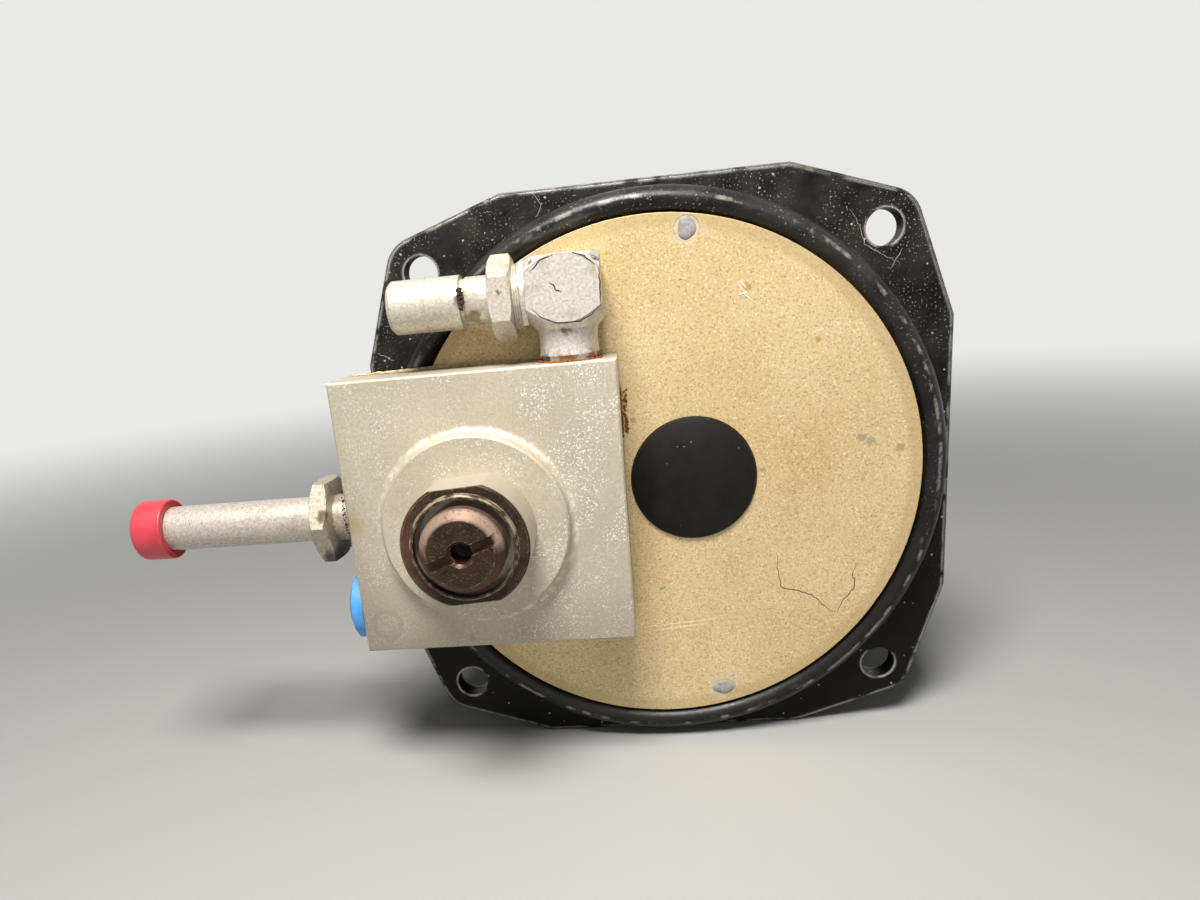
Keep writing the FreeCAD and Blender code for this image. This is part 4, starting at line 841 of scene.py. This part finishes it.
# %% [markdown]
# ## Floor, lamps and background
# The part stands on a plain pale sweep. One soft lamp hangs above and before it, a little to the left, as
# the ceiling light does in the photograph, so the plate is brighter at its top and the block throws a
# shadow down to the plate's edge. A weak fill and the pale world soften that shadow. Far from the object
# the sweep and the world show a paler tone to the camera and in reflections, and that tone adds no light
# to matt surfaces.

# %% A floor that bends up into a wall
bend_steps = 12


def sweep(name, width, front, back, height, floor_z, bend):
    """A floor that curves up into a wall behind the object; sizes in metres."""
    outline = [(front, floor_z), (back - bend, floor_z)]
    for k in range(1, bend_steps + 1):
        angle = math.radians(90 * k / bend_steps)
        outline.append((back - bend + bend * math.sin(angle), floor_z + bend * (1 - math.cos(angle))))
    outline.append((back, floor_z + height))
    points = [(side * width / 2, y, z) for y, z in outline for side in (-1, 1)]
    faces = [(2 * k, 2 * k + 1, 2 * k + 3, 2 * k + 2) for k in range(len(outline) - 1)]
    mesh = bpy.data.meshes.new(name)
    mesh.from_pydata(points, [], faces)
    mesh.shade_smooth()
    made = bpy.data.objects.new(name, mesh)
    bpy.context.scene.collection.objects.link(made)
    return made


floor = sweep("floor", width=6.0, front=-2.0, back=1.6, height=2.5, floor_z=cad_low.z, bend=0.8)
print("floor at", round(cad_low.z / MM, 2), "mm")

# %% Paper for the floor
backdrop_colour = "#E9E9E7"
backdrop_strength = 1.0
far_start, far_end = 0.08, 0.6


def seen_directly(tree):
    """1 for camera, glossy and transmission rays, and 0 for diffuse ones."""
    ray = add(tree, "ShaderNodeLightPath").outputs
    seen = add(tree, "ShaderNodeMath", {0: ray["Is Camera Ray"], 1: ray["Is Glossy Ray"]},
               operation="MAXIMUM")
    seen = add(tree, "ShaderNodeMath", {0: seen.outputs[0], 1: ray["Is Transmission Ray"]},
               operation="MAXIMUM")
    return seen.outputs[0]


paper, tree, shader, place = new_finish("pale paper sweep", Roughness=0.9, Base_Color="#ADADAB")
reach = add(tree, "ShaderNodeVectorMath", {0: place}, operation="LENGTH").outputs["Value"]
far = add(tree, "ShaderNodeMapRange", {"Value": reach, "From Min": far_start, "From Max": far_end},
          interpolation_type="SMOOTHSTEP").outputs["Result"]
glow = add(tree, "ShaderNodeEmission", {"Color": backdrop_colour, "Strength": backdrop_strength})
blend = add(tree, "ShaderNodeMixShader", {0: product(tree, seen_directly(tree), far),
                                          1: shader.outputs[0], 2: glow.outputs[0]})
tree.links.new(blend.outputs[0], tree.nodes["Material Output"].inputs["Surface"])
floor.data.materials.append(paper)
print("the floor pales from", far_start, "to", far_end, "m")

# %% Lamps
def lamp(name, place_mm, target_mm, size_mm, watts, hex_value="#FFFFFF"):
    """A rectangular soft lamp that points at a target."""
    data = bpy.data.lights.new(name, "AREA")
    data.shape = "RECTANGLE"
    data.size, data.size_y = size_mm[0] * MM, size_mm[1] * MM
    data.energy = watts
    data.color = colour(hex_value)[:3]
    made = bpy.data.objects.new(name, data)
    made.location = Vector(place_mm) * MM
    way = (Vector(target_mm) - Vector(place_mm)).normalized()
    made.rotation_euler = way.to_track_quat("-Z", "Y").to_euler()
    bpy.context.scene.collection.objects.link(made)
    print(name, "has", watts, "W")


flange_centre = (0, 0, 0)
lamp("ceiling lamp", (-26, -140, 232), flange_centre, (100, 100), 1.36, "#FFFDF9")
lamp("front fill", (200, -620, 240), flange_centre, (500, 400), 0.2)

# %% World
room_strength = 0.15

world = bpy.data.worlds.new("pale room")
bpy.context.scene.world = world
world.use_nodes = True
tree = world.node_tree
room = tree.nodes["Background"]
room.inputs["Color"].default_value = colour("#E6E7E9")
room.inputs["Strength"].default_value = room_strength
pale = add(tree, "ShaderNodeBackground", {"Color": backdrop_colour, "Strength": backdrop_strength})
blend = add(tree, "ShaderNodeMixShader", {0: seen_directly(tree), 1: room.outputs[0],
                                          2: pale.outputs[0]})
tree.links.new(blend.outputs[0], tree.nodes["World Output"].inputs["Surface"])
bpy.context.scene.view_settings.view_transform = "Standard"
print("the world lights the object with a strength of", room_strength)
